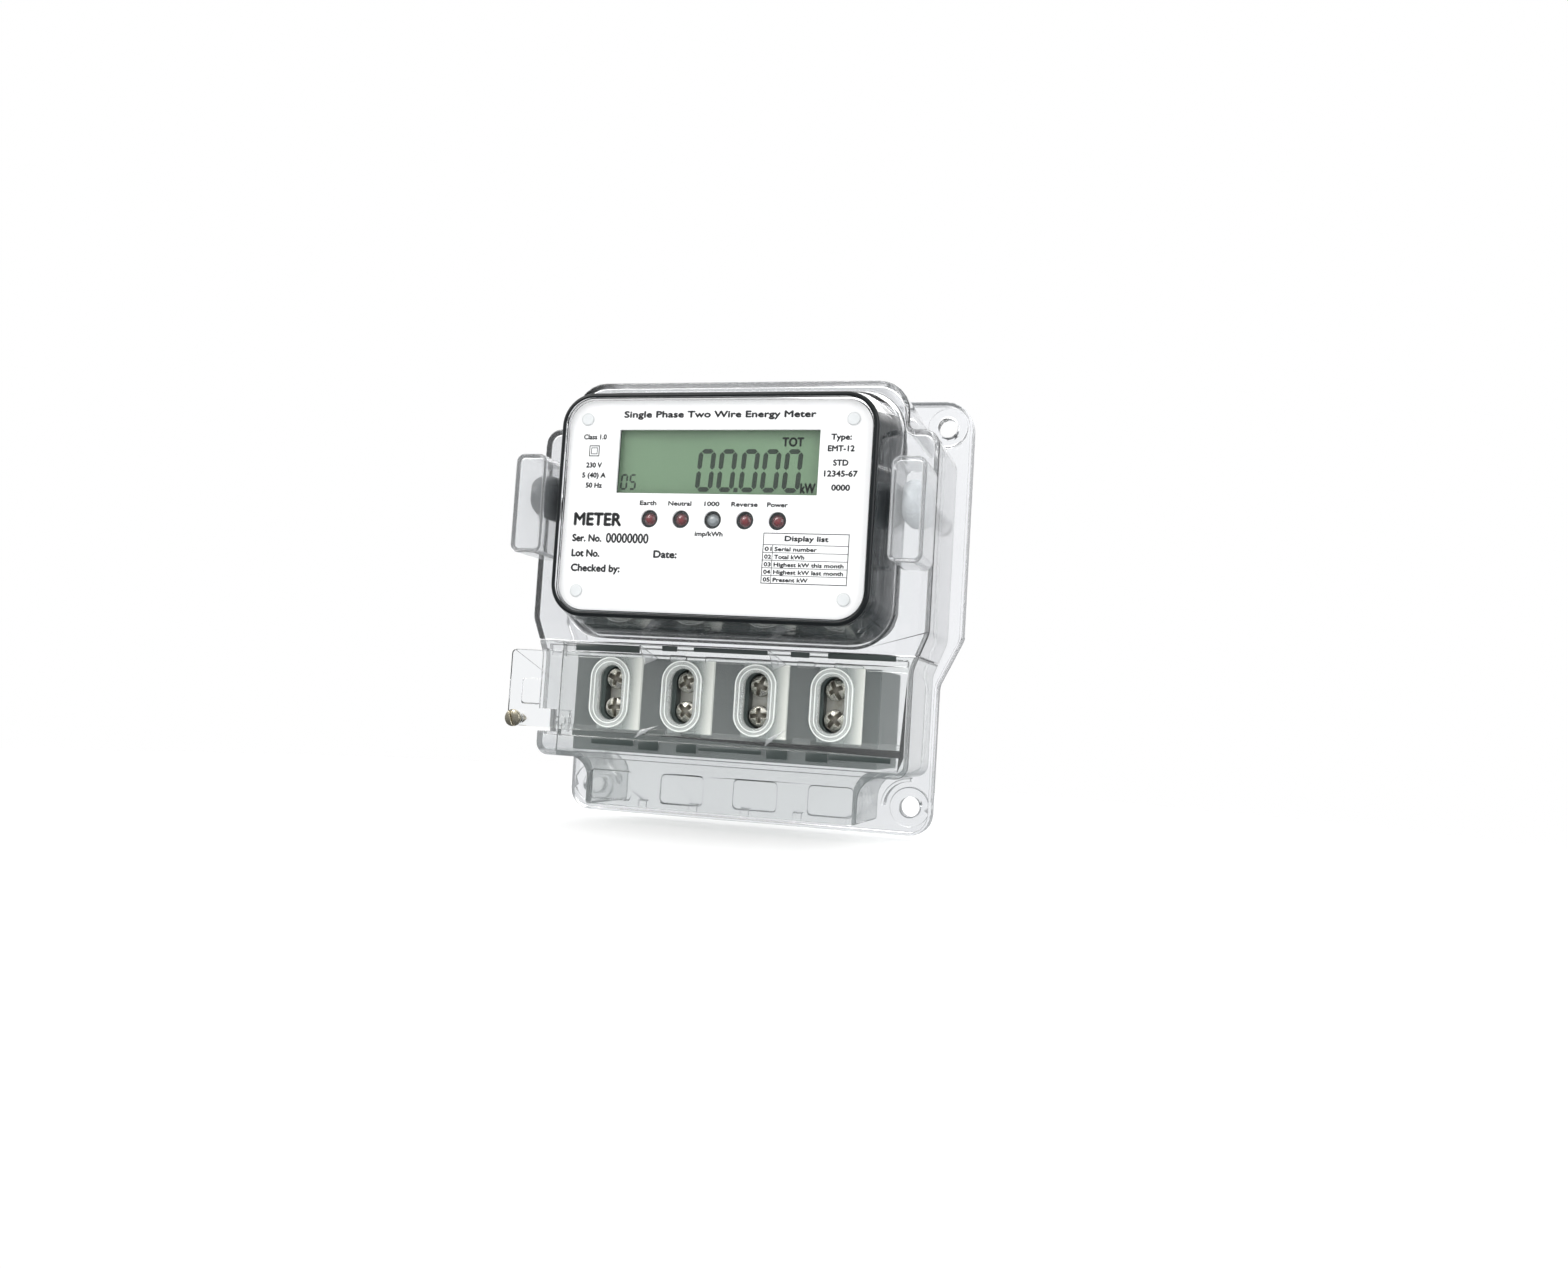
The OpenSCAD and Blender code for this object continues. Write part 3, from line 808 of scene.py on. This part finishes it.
class METER_OT_display(bpy.types.Operator):
    """Liquid-crystal display with its digits, reflector and contact strips"""

    bl_idname = "meter.display"
    bl_label = "Display"

    def execute(self, context):
        sizes, colours = context.scene.meter_sizes, context.scene.meter_colours
        window = middle("lcd_glass")
        finish = Finish("display_green")
        cloud, fine = finish.noise(45, 3), finish.noise(5200, 2)
        dark, light = toned(colours.display, 0.9), toned(colours.display, 1.1)
        tone = finish.mix(cloud * 0.8 + fine * 0.2, dark, light)
        green = finish.plain(
            {
                "Base Color": tone,
                "Roughness": 0.2 + fine * 0.12,
                "Coat Weight": 0.8,
                "Coat Roughness": 0.06,
                "Normal": finish.bump(fine, 0.2, 0.004),
            }
        )
        softened("display_cell", ["lcd_glass"], green, 0.2)
        bottom = FACE.z + 4.9 - window.z
        height, lean = sizes.digit_height, sizes.digit_lean
        parts = []
        zero, five = "abcdef", "afgcd"
        for x in (-7.2, -0.5, 6.5, 13.1, 19.8):
            parts += digit_parts(x, bottom, 5.5, height, 1.45, lean, zero)
        parts.append(flat_bar(5.1, bottom, 6.4, bottom + 1.3))
        for x, marks in ((-31.3, zero), (-28.5, five)):
            parts += digit_parts(x, bottom + 0.3, 2.3, 4.9, 0.6, lean, marks)
        parts.append(flat_text("kW", 27.9, bottom, 3.0, 0.16, 4.4))
        parts.append(flat_text("TOT", 22.6, bottom + height + 0.9, 2.7, 0.16, 6.4))
        points, faces = joined(parts)
        points += [window.x, low("lcd_glass").y - 0.03, window.z]
        ink = moulded("display_digits", colours.digits, 0.35, 3000, 0.003, 0.25)
        add_piece("display_marks", points, faces, ink, "display_green", smooth=False)
        paper = moulded("reflector_white", (0.8, 0.8, 0.76), 0.5)
        softened("display_reflector", ["lcd_backplate"], paper, 0.2)
        rubber = moulded("contact_rubber", (0.5, 0.12, 0.28), 0.65)
        softened("display_contacts", ["lcd_contact_strips"], rubber, 0.2)
        return {"FINISHED"}


class METER_OT_lamps(bpy.types.Operator):
    """Five lamps with domed lenses, lighter in the middle for the chip's reflector and a painted
    highlight, darker at the rim as painted shade
    """

    bl_idname = "meter.lamps"
    bl_label = "Lamps"

    def execute(self, context):
        colours = context.scene.meter_colours
        for node in LAMPS:
            clear = node == "led_pulse"
            base = (0.16, 0.18, 0.19) if clear else colours.lamp
            highlight_tone = (0.3, 0.33, 0.34) if clear else (0.17, 0.016, 0.022)
            centre = middle(node)
            finish = Finish(f"{node}_lens")
            # Distance from the lamp's axis: its place, centred, with the part along Y removed
            centring = {"Vector": finish.place, "Location": (-centre.x * MM, 0, -centre.z * MM)}
            about = finish.node("Mapping", None, centring)
            across = finish.node("VectorMath", {"operation": "MULTIPLY"}, {0: about, 1: (1, 0, 1)})
            radius = finish.node("VectorMath", {"operation": "LENGTH"}, {0: across})[1]
            # Lighter in the middle for the chip's reflector and a painted highlight on the dome;
            # the rim is painted darker as shade of the hole
            cup_and_highlight = finish.step(radius * 1000, 1.3, 0.7)
            swirl = finish.noise(1500, 4)
            tone = finish.mix(cup_and_highlight * 0.8 + swirl * 0.2, toned(base, 0.9), highlight_tone)
            lens = finish.surface(
                {
                    "Base Color": tone,
                    "Roughness": 0.08 + swirl * 0.06,
                    "Coat Weight": 1.0,
                    "Coat Roughness": 0.03,
                    "Normal": finish.bump(swirl, 0.3, 0.01),
                }
            )
            softened(f"{node}_dome", [node], finish.done(lens), 0.1, 2)
        return {"FINISHED"}


class METER_OT_electronics(bpy.types.Operator):
    """Circuit board, its parts and the links behind the terminals"""

    bl_idname = "meter.electronics"
    bl_label = "Electronics"

    def execute(self, context):
        board = moulded("board_green", context.scene.meter_colours.board, 0.3, 1500, 0.03, 0.3, 0.3)
        epoxy = moulded("black_epoxy", (0.02, 0.02, 0.022), 0.55)
        steel = metal("plated_steel", (0.62, 0.62, 0.6), 0.28)
        yellow = moulded("yellow_film", (0.62, 0.42, 0.04), 0.35)
        sleeve = moulded("blue_sleeve", (0.02, 0.05, 0.22), 0.3, coat=0.3)
        battery = moulded("battery_green", (0.03, 0.2, 0.1), 0.3, coat=0.3)
        alloy = metal("shunt_alloy", (0.6, 0.36, 0.24), 0.35)
        brass = metal("link_brass", (0.76, 0.58, 0.26), 0.3)
        pieces = [
            ("main_board", board, 0.15),
            ("board_screws", steel, 0.3),
            ("metering_chip", epoxy, 0.2),
            ("microcontroller", epoxy, 0.2),
            ("crystal", steel, 0.6),
            ("film_capacitor", yellow, 0.6),
            ("smoothing_capacitor", sleeve, 0.6),
            ("varistor", sleeve, 0.8),
            ("backup_battery", battery, 0.5),
            ("current_shunt", alloy, 0.25),
            ("neutral_link", brass, 0.25),
            ("current_transformer", sleeve, 0.5),
        ]
        for node, finish, edge in pieces:
            softened(f"{node}_body", [node], finish, edge)
        return {"FINISHED"}


class METER_OT_terminals(bpy.types.Operator):
    """Dark terminal block with its ledges, and four plated brass terminals"""

    bl_idname = "meter.terminals"
    bl_label = "Terminals"

    def execute(self, context):
        colours = context.scene.meter_colours
        dark = moulded("block_plastic", colours.block, 0.38, relief=0.05)
        softened("block_body", ["terminal_block"], dark, 0.4)
        # Near-white base and a low metal share: partly the pale plating, partly painted light down
        # the wells where the lamps hardly reach
        brass = metal("plated_brass", (0.96, 0.93, 0.84), 0.34, (0.6, 0.56, 0.45), solid=0.45)
        for i in range(1, 5):
            softened(f"terminal_{i}_body", [f"terminal_{i}"], brass, 0.3)
        return {"FINISHED"}


def driven_head(radius, top, dome, slot_w, cross_w, cross_l, deep):
    """Top of a domed screw head as rings of points.

    Height is the dome, highest in the middle, less a full slot and a short cross, each a smooth
    step across its width.
    """
    rings, around = 26, 72
    r = np.linspace(0.02, 1, rings)[:, None] * radius
    angle = np.linspace(0, 2 * math.pi, around, endpoint=False)[None, :]
    x, z = r * np.cos(angle), r * np.sin(angle)
    rise = dome * (1 - (r / radius) ** 2.4) + 0 * angle

    def groove(across, along, width, length):
        inside = np.clip((width / 2 + 0.12 - np.abs(across)) / 0.24, 0, 1)
        return inside * np.clip((length / 2 + 0.1 - np.abs(along)) / 0.2, 0, 1)

    cut = np.maximum(groove(z, x, slot_w, 9 * radius), groove(x, z, cross_w, cross_l))
    cut = np.maximum(cut, groove(z, x, cross_w, cross_l))
    return np.stack([x, top - rise + cut * deep, z], 2)


def turned_screw(node, name, finish, body, spin, top, profile):
    """Screw as one closed surface that stands for a CAD node.

    The rings of its head's top go on as a profile turned about its axis, and all are turned by
    spin radians.
    """
    centre = middle(node)
    rings = np.concatenate([top, revolved(profile, top.shape[1])])
    points, faces = lofted(rings)
    cosine, sine = math.cos(spin), math.sin(spin)
    turn = np.array([[cosine, 0, sine], [0, 1, 0], [-sine, 0, cosine]])
    points = points @ turn.T + [centre.x, 0, centre.z]
    add_piece(name, points, [f[::-1] for f in faces], finish, "nickel_screw", [node], body)


class METER_OT_clamp_screws(bpy.types.Operator):
    """Eight clamp screws with domed heads, a slot and a short cross"""

    bl_idname = "meter.clamp_screws"
    bl_label = "Clamp screws"

    def execute(self, context):
        dome, shank, pitch = 0.7, 2.42, 0.8
        crest = low(SCREWS[0]).y + dome
        nickel = self.worn_nickel((crest + 0.2) * MM, (crest + 0.75) * MM)
        for i, node in enumerate(SCREWS):
            lo, hi = low(node), high(node)
            radius, under = (hi.x - lo.x) / 2, lo.y + 2.4
            top = driven_head(radius - 0.25, lo.y + dome, dome, 1.15, 1.2, 4.4, 1.3)
            # Down the rim, under the head and along a ridged shank
            turns = np.arange(under + 0.6, hi.y - 0.8, pitch / 2)
            ridges = [(shank - (0.3 if k % 2 else 0.02), y) for k, y in enumerate(turns)]
            profile = [(radius - 0.08, lo.y + dome + 0.1), (radius, lo.y + dome + 0.35)]
            profile += [(radius, under - 0.25), (radius - 0.2, under), (shank, under + 0.02)]
            profile += ridges + [(shank * 0.75, hi.y), (0.05, hi.y)]
            spin = math.radians((i * 67 + 20) % 180)
            body = node.replace("screw", "clamp")
            turned_screw(node, f"{node}_part", nickel, body, spin, top, profile)
        return {"FINISHED"}

    def worn_nickel(self, shallow, deep):
        """Nickel plate with tool marks, painted dark and dull as shade down in the grooves and
        under the head.

        The painted shade rises smoothly from the shallow depth to the deep one, both in metres.
        """
        finish = Finish("nickel_screw")
        cloud, marks = finish.noise(420, 5), finish.noise(1500, 3, (1, 1, 5))
        depth = finish.node("SeparateXYZ", None, {"Vector": finish.place})["Y"]
        # Painted shade: darker with depth, in the slots and down the head's sides and shank
        depth_shade = finish.step(depth + (cloud - 0.5) * 0.0003, shallow, deep)
        worn = finish.step(marks, 0.5, 0.7)
        plated = finish.mix(cloud, (0.74, 0.71, 0.62), (0.98, 0.96, 0.89))
        return finish.plain(
            {
                "Base Color": finish.mix(depth_shade * 0.9, plated, (0.07, 0.062, 0.045)),
                "Metallic": 1.0 - depth_shade * 0.4,
                "Roughness": 0.2 + worn * 0.14 + depth_shade * 0.35,
                "Normal": finish.bump(marks, 0.35, 0.04),
            }
        )


class METER_OT_well_rims(bpy.types.Operator):
    """Milky rims of the screw wells, painted darker down the well as shade, with the hooks of the
    shutter's rails and dark strips of painted shade along them
    """

    bl_idname = "meter.well_rims"
    bl_label = "Well rims and rails"

    # Corners of the rails' clear hooks, X and Z
    HOOKS = [
        [(-27.0, -15.1), (-24.7, -21.4), (-20.2, -19.2)],
        [(15.1, -14.9), (16.9, -21.1), (21.2, -19.2)],
        [(-26.6, -44.5), (-18.7, -40.0), (-24.7, -41.7)],
        [(15.6, -44.5), (22.1, -38.8), (16.5, -41.8)],
    ]
    # Dark strips along the rails, painted shade where the block shows through the gaps: x0, z0, x1,
    # z1
    SHADE_STRIPS = [
        (-48.4, -17.6, -26.8, -15.8),
        (-9.0, -16.4, 14.8, -15.5),
        (33.7, -16.5, 54.5, -15.2),
        (-40.9, -46.6, -26.8, -45.2),
        (-5.4, -46.6, 14.8, -45.8),
        (35.6, -46.6, 54.5, -45.4),
        (-25.1, -47.6, -18.4, -45.2),
        (-12.6, -47.6, -6.0, -45.2),
        (16.4, -47.6, 23.0, -45.2),
        (28.6, -47.6, 35.4, -45.2),
        (-19.4, -16.6, -14.4, -15.3),
        (22.1, -16.6, 28.0, -15.3),
    ]

    def execute(self, context):
        colours = context.scene.meter_colours
        front = low("terminal_cover").y
        crest, back, longer = front - 0.03, SHOULDER + 1.45, 9.0
        milk = frosted_plastic("well_rim", (0.8, 0.83, 0.81), front + 0.1, front + 0.25)
        # Width of the rim at each depth, from its outer foot over two ridges and down the well
        section = [(13.3, SHOULDER - 0.1), (13.1, front + 0.2), (12.8, crest), (12.4, crest)]
        section += [(12.1, front + 0.3), (10.6, front + 0.3), (10.3, crest), (9.9, crest)]
        section += [(9.6, front + 0.35), (8.5, front + 0.9), (8.1, front + 1.1), (7.96, back)]
        section += [(8.6, back), (10.2, SHOULDER + 0.2), (12.6, SHOULDER)]
        parts = []
        for terminal in TERMINALS:
            rings = []
            for wide, depth in section:
                loop = rounded_loop(wide, wide + longer, wide / 2 - 0.05, 18)
                rings.append(placed(loop, terminal.x, depth, WELL_LEVEL))
            parts.append(lofted(np.array(rings)[::-1], closed_rows=True))
        add_piece("well_rims", *joined(parts), milk, "clear_case")
        # Painted shade: the strips take a darker copy of the block's colour
        dark = moulded("rail_shade_paint", toned(colours.block, 0.7), 0.3, relief=0.03, coat=0.3)
        strips = [
            box_part((x0, SHOULDER - 0.1, z0 - 0.2), (x1, SHOULDER + 0.6, z1 + 0.2), 0.2)
            for x0, z0, x1, z1 in self.SHADE_STRIPS
        ]
        add_piece("rail_shade_bars", *joined(strips), dark, "block_plastic")
        # Each hook is drawn straight back, from 0.7 in front of the shoulder
        depths = (SHOULDER - 0.7, SHOULDER - 0.02)
        hooks = joined(
            lofted(np.array([placed(np.array(corners), 0, depth, 0) for depth in depths]))
            for corners in self.HOOKS
        )
        glass = clear_plastic("rail_hook", colours.case, 0.1)
        rounded_edges(add_piece("rail_hooks", *hooks, glass, "clear_case"), 0.2, 3)
        return {"FINISHED"}


class METER_OT_shutter(bpy.types.Operator):
    """Sliding shutter, frosted round its windows, and its sealing screw"""

    bl_idname = "meter.shutter"
    bl_label = "Shutter"

    def execute(self, context):
        tint = context.scene.meter_colours.shutter
        finish = Finish("clear_shutter")
        x = finish.node("SeparateXYZ", None, {"Vector": finish.place})
        level = x["Z"] - WELL_LEVEL * MM
        spacing = (TERMINALS[1].x - TERMINALS[0].x) * MM
        # Place across the nearest window, whose lip lies 2.6 to the right of its terminal
        beside = x - (TERMINALS[1].x + 2.6) * MM
        across = beside.math("WRAP", beside, spacing / 2, -spacing / 2)
        cut_off = finish.step(x, -0.0462, -0.0452)
        tall = finish.step(level.math("ABSOLUTE", level), 0.0117, 0.0111)
        inside = finish.step(across.math("ABSOLUTE", across), 0.0074, 0.0069) * cut_off * tall
        lip = finish.step(across, 0.001, 0.007) * inside
        cloud = finish.noise(90, 3)
        glass = finish.surface(
            {
                "Base Color": finish.mix(cloud, toned(tint, 0.98), toned(tint, 1.03)),
                "Roughness": 0.03 + inside * 0.12 + cloud * 0.02,
                "IOR": 1.5,
                "Transmission Weight": 1.0,
                "Normal": finish.bump(cloud, 0.3, 0.02),
            }
        )
        milky = finish.surface(
            {
                "Base Color": finish.mix(lip, (0.5, 0.55, 0.54), (0.95, 0.95, 0.9)),
                "Roughness": 0.25 + cloud * 0.1,
            }
        )
        mixed = finish.node("MixShader", None, {0: inside * 0.36 + lip * 0.3, 1: glass, 2: milky})
        clear = finish.done(through(finish, mixed, toned(tint, 0.98)))
        softened("shutter_plate", ["terminal_shutter"], clear, 0.3, body="shutter")
        self.seal_screw()
        return {"FINISHED"}

    def seal_screw(self):
        """Slotted sealing screw: straight under the head, then tapered to a point."""
        node = "shutter_seal_screw"
        lo, hi = low(node), high(node)
        radius, bore, shank = (hi.x - lo.x) / 2, low("terminal_shutter").y, 1.46
        top = driven_head(radius - 0.2, lo.y + 0.4, 0.4, 0.8, 0.01, 0.01, 0.9)
        profile = [(radius, lo.y + 0.8), (radius, lo.y + 1.5), (radius - 0.2, lo.y + 1.75)]
        profile += [(shank, lo.y + 1.8), (shank, bore + 3.6), (1.2, bore + 4.4)]
        profile += [(0.5, hi.y - 0.5), (0.05, hi.y)]
        brass = metal("seal_screw_brass", (0.5, 0.46, 0.36), 0.2, (0.06, 0.05, 0.035))
        spin = math.radians(72)
        turned_screw(node, "seal_screw_part", brass, "seal_screw", spin, top, profile)


def knurled_plug(node):
    """Domed plug with a diamond knurl.

    A rounded outline shrinks towards its front like a flattened ball, pushed out and in by crossed
    waves along the surface.
    """
    lo, hi = low(node), high(node)
    wide, tall, deep = hi.x - lo.x, hi.z - lo.z, hi.y - lo.y
    rows, around, along, relief = 60, 20, 42, 0.045
    t = np.linspace(0, 1, rows) ** 0.8
    base = rounded_loop(wide, tall, wide / 2 - 0.05, 26)
    swell = np.sqrt(1 - np.clip((t - 0.3) / 0.7, 0, 0.997) ** 2)
    turn = np.arange(len(base)) / len(base) * 2 * math.pi
    one, other = around * turn[None, :], along * t[:, None]
    scale = swell[:, None] * (1 + relief * np.cos(one + other) * np.cos(one - other)) - relief
    depth = (hi.y - t * deep)[:, None] + 0 * scale
    rings = np.stack([base[:, 0] * scale, depth, base[:, 1] * scale], 2)
    points, faces = lofted(rings)
    return points + [(lo.x + hi.x) / 2, 0, (lo.z + hi.z) / 2], faces


class METER_OT_seals(bpy.types.Operator):
    """Knurled plugs and the cover screws under them"""

    bl_idname = "meter.seals"
    bl_label = "Seals"

    def execute(self, context):
        grey = moulded("plug_grey", (0.03, 0.037, 0.042), 0.3, coat=0.5)
        # The right plug is the same grey plug painted pale: painted light through its clear cap
        pale = moulded("plug_pale", (0.5, 0.53, 0.55), 0.25, 1400, 0.3, 0.5, 0.6)
        steel = metal("cover_screw_steel", (0.6, 0.6, 0.58), 0.28)
        for side, plastic in (("left", grey), ("right", pale)):
            plug, screw = f"seal_plug_{side}", f"cover_screw_{side}"
            add_piece(f"{plug}_part", *knurled_plug(plug), plastic, "plug_grey", [plug])
            softened(f"{screw}_part", [screw], steel, 0.3)
        return {"FINISHED"}


# Camera: place in millimetres, direction of view and roll in degrees, lens in millimetres
CAMERA_AT = (126.2, -417.9, -36.2)
CAMERA_ANGLES = {"azimuth": 15.73, "elevation": -3.83, "roll": 3.55}
CAMERA_LENS = 29.85
SENSOR = 36


def soft_light(name, at, towards, size, power, colour):
    """A square area lamp at a point, facing another, in metres."""
    lamp = bpy.data.lights.new(name, "AREA")
    lamp.shape, lamp.size, lamp.energy, lamp.color = "SQUARE", size, power, colour
    holder = bpy.data.objects.new(name, lamp)
    bpy.context.scene.collection.objects.link(holder)
    holder.location = at
    holder.rotation_mode = "QUATERNION"
    holder.rotation_quaternion = (Vector(towards) - Vector(at)).to_track_quat("-Z", "Y")
    return holder


class METER_OT_studio(bpy.types.Operator):
    """Pale floor, soft lights, white surroundings and the camera"""

    bl_idname = "meter.studio"
    bl_label = "Studio"

    def execute(self, context):
        self.floor()
        self.surroundings(context.scene)
        soft_light("lamp_key", (-0.7, -0.9, 0.9), (0, 0, 0), 0.8, 9, (1.0, 0.99, 0.97))
        soft_light("lamp_fill", (0.9, -0.6, 0.3), (0, 0, 0), 0.7, 4, (0.96, 0.98, 1.0))
        soft_light("lamp_back", (0.1, 0.8, 0.8), (0, 0, 0), 0.8, 5, (1.0, 1.0, 1.0))
        self.camera(context.scene)
        return {"FINISHED"}

    def floor(self):
        """Round floor as rings of points, fading out into the white round it."""
        finish = Finish("floor_pale")
        cloud = finish.noise(3, 4)
        reach = finish.node("VectorMath", {"operation": "LENGTH"}, {0: finish.place})[1]
        matt = finish.surface(
            {
                "Base Color": finish.mix(cloud, (0.93, 0.93, 0.93), (0.97, 0.97, 0.97)),
                "Roughness": 0.6 + cloud * 0.1,
                "Alpha": finish.step(reach, 0.42, 0.16),
            }
        )
        radius = np.array([0.05, 100, 200, 400])
        angle = np.linspace(0, 2 * math.pi, 64, endpoint=False)
        x, y = np.outer(radius, np.cos(angle)), np.outer(radius, np.sin(angle))
        rings = np.stack([x, y, 0 * x + low("base_plate").z - 1.5], 2)
        points, faces = lofted(rings, caps=False)
        mesh = bpy.data.meshes.new("floor")
        mesh.from_pydata(points * MM, [], [face[::-1] for face in faces])
        mesh.materials.append(finish.done(matt))
        mesh.update()
        floor = bpy.data.objects.new("floor", mesh)
        bpy.context.scene.collection.objects.link(floor)
        floor.visible_glossy = floor.visible_transmission = False

    def surroundings(self, scene):
        """White to the eye and for soft light; what plastic and metal mirror is darker.

        The dark is on the right side, underneath and behind the camera.
        """
        sky = Finish("studio", "worlds")
        toward = sky.node("SeparateXYZ", None, {"Vector": sky.place})
        stops = [(0.08, 0.97), (0.26, 0.38), (0.6, 0.36), (1.0, 0.62)]
        stops = [(position, (level, level * 1.01, level * 1.03, 1)) for position, level in stops]
        side = sky.node("ValToRGB", {"stops": stops}, {"Fac": toward["X"]})
        behind = sky.mix(sky.step(toward["Y"], -0.35, 0.1), (0.42, 0.43, 0.44), side)
        over = sky.mix(sky.step(toward["Z"], 0.28, 0.45), behind, (1, 1, 1))
        mirrored = sky.mix(sky.step(toward["Z"], -0.3, -0.05), (0.2, 0.21, 0.22), over)
        path = sky.node("LightPath")
        plain = path.math("MAXIMUM", path["Is Camera Ray"], path["Is Diffuse Ray"])
        light = sky.node("Background", None, {"Color": sky.mix(plain, mirrored, (1, 1, 1))})
        scene.world = sky.done(light, "OutputWorld")
        scene.view_settings.view_transform = "Standard"

    def camera(self, scene):
        """Camera whose axes are worked out from its azimuth, elevation and roll."""
        azimuth, elevation, roll = (math.radians(angle) for angle in CAMERA_ANGLES.values())
        flat = Vector((-math.sin(azimuth), math.cos(azimuth), 0))
        ahead = flat * math.cos(elevation) - Vector((0, 0, math.sin(elevation)))
        level = Vector((math.cos(azimuth), math.sin(azimuth), 0))
        upright = level.cross(ahead)
        right = level * math.cos(roll) + upright * math.sin(roll)
        up = upright * math.cos(roll) - level * math.sin(roll)
        lens = bpy.data.cameras.new("camera")
        lens.lens, lens.sensor_width, lens.clip_start = CAMERA_LENS, SENSOR, 0.01
        camera = bpy.data.objects.new("camera", lens)
        scene.collection.objects.link(camera)
        turned = Matrix((right, up, -ahead)).transposed().to_4x4()
        camera.matrix_world = Matrix.Translation(Vector(CAMERA_AT) * MM) @ turned
        scene.camera = camera


STEPS = [
    METER_OT_clear_case,
    METER_OT_face_line,
    METER_OT_frame,
    METER_OT_label,
    METER_OT_display,
    METER_OT_lamps,
    METER_OT_electronics,
    METER_OT_terminals,
    METER_OT_clamp_screws,
    METER_OT_well_rims,
    METER_OT_shutter,
    METER_OT_seals,
    METER_OT_studio,
]


class METER_PT_sidebar(bpy.types.Panel):
    """Lists the meter's sizes, colours and pieces"""

    bl_idname = "METER_PT_sidebar"
    bl_label = "Electricity meter"
    bl_space_type = "VIEW_3D"
    bl_region_type = "UI"
    bl_category = "Meter"

    def draw(self, context):
        for group in (context.scene.meter_sizes, context.scene.meter_colours):
            for name in group.__annotations__:
                self.layout.prop(group, name)
        for step in STEPS:
            self.layout.operator(step.bl_idname)


CLASSES = [MeterSizes, MeterColours, *STEPS, METER_PT_sidebar]


def register():
    for kind in CLASSES:
        bpy.utils.register_class(kind)
    bpy.types.Scene.meter_sizes = bpy.props.PointerProperty(type=MeterSizes)
    bpy.types.Scene.meter_colours = bpy.props.PointerProperty(type=MeterColours)


def unregister():
    del bpy.types.Scene.meter_colours
    del bpy.types.Scene.meter_sizes
    for kind in reversed(CLASSES):
        bpy.utils.unregister_class(kind)


def main():
    register()
    for step in STEPS:
        family, name = step.bl_idname.split(".")
        getattr(getattr(bpy.ops, family), name)()


if __name__ == "__main__":
    main()
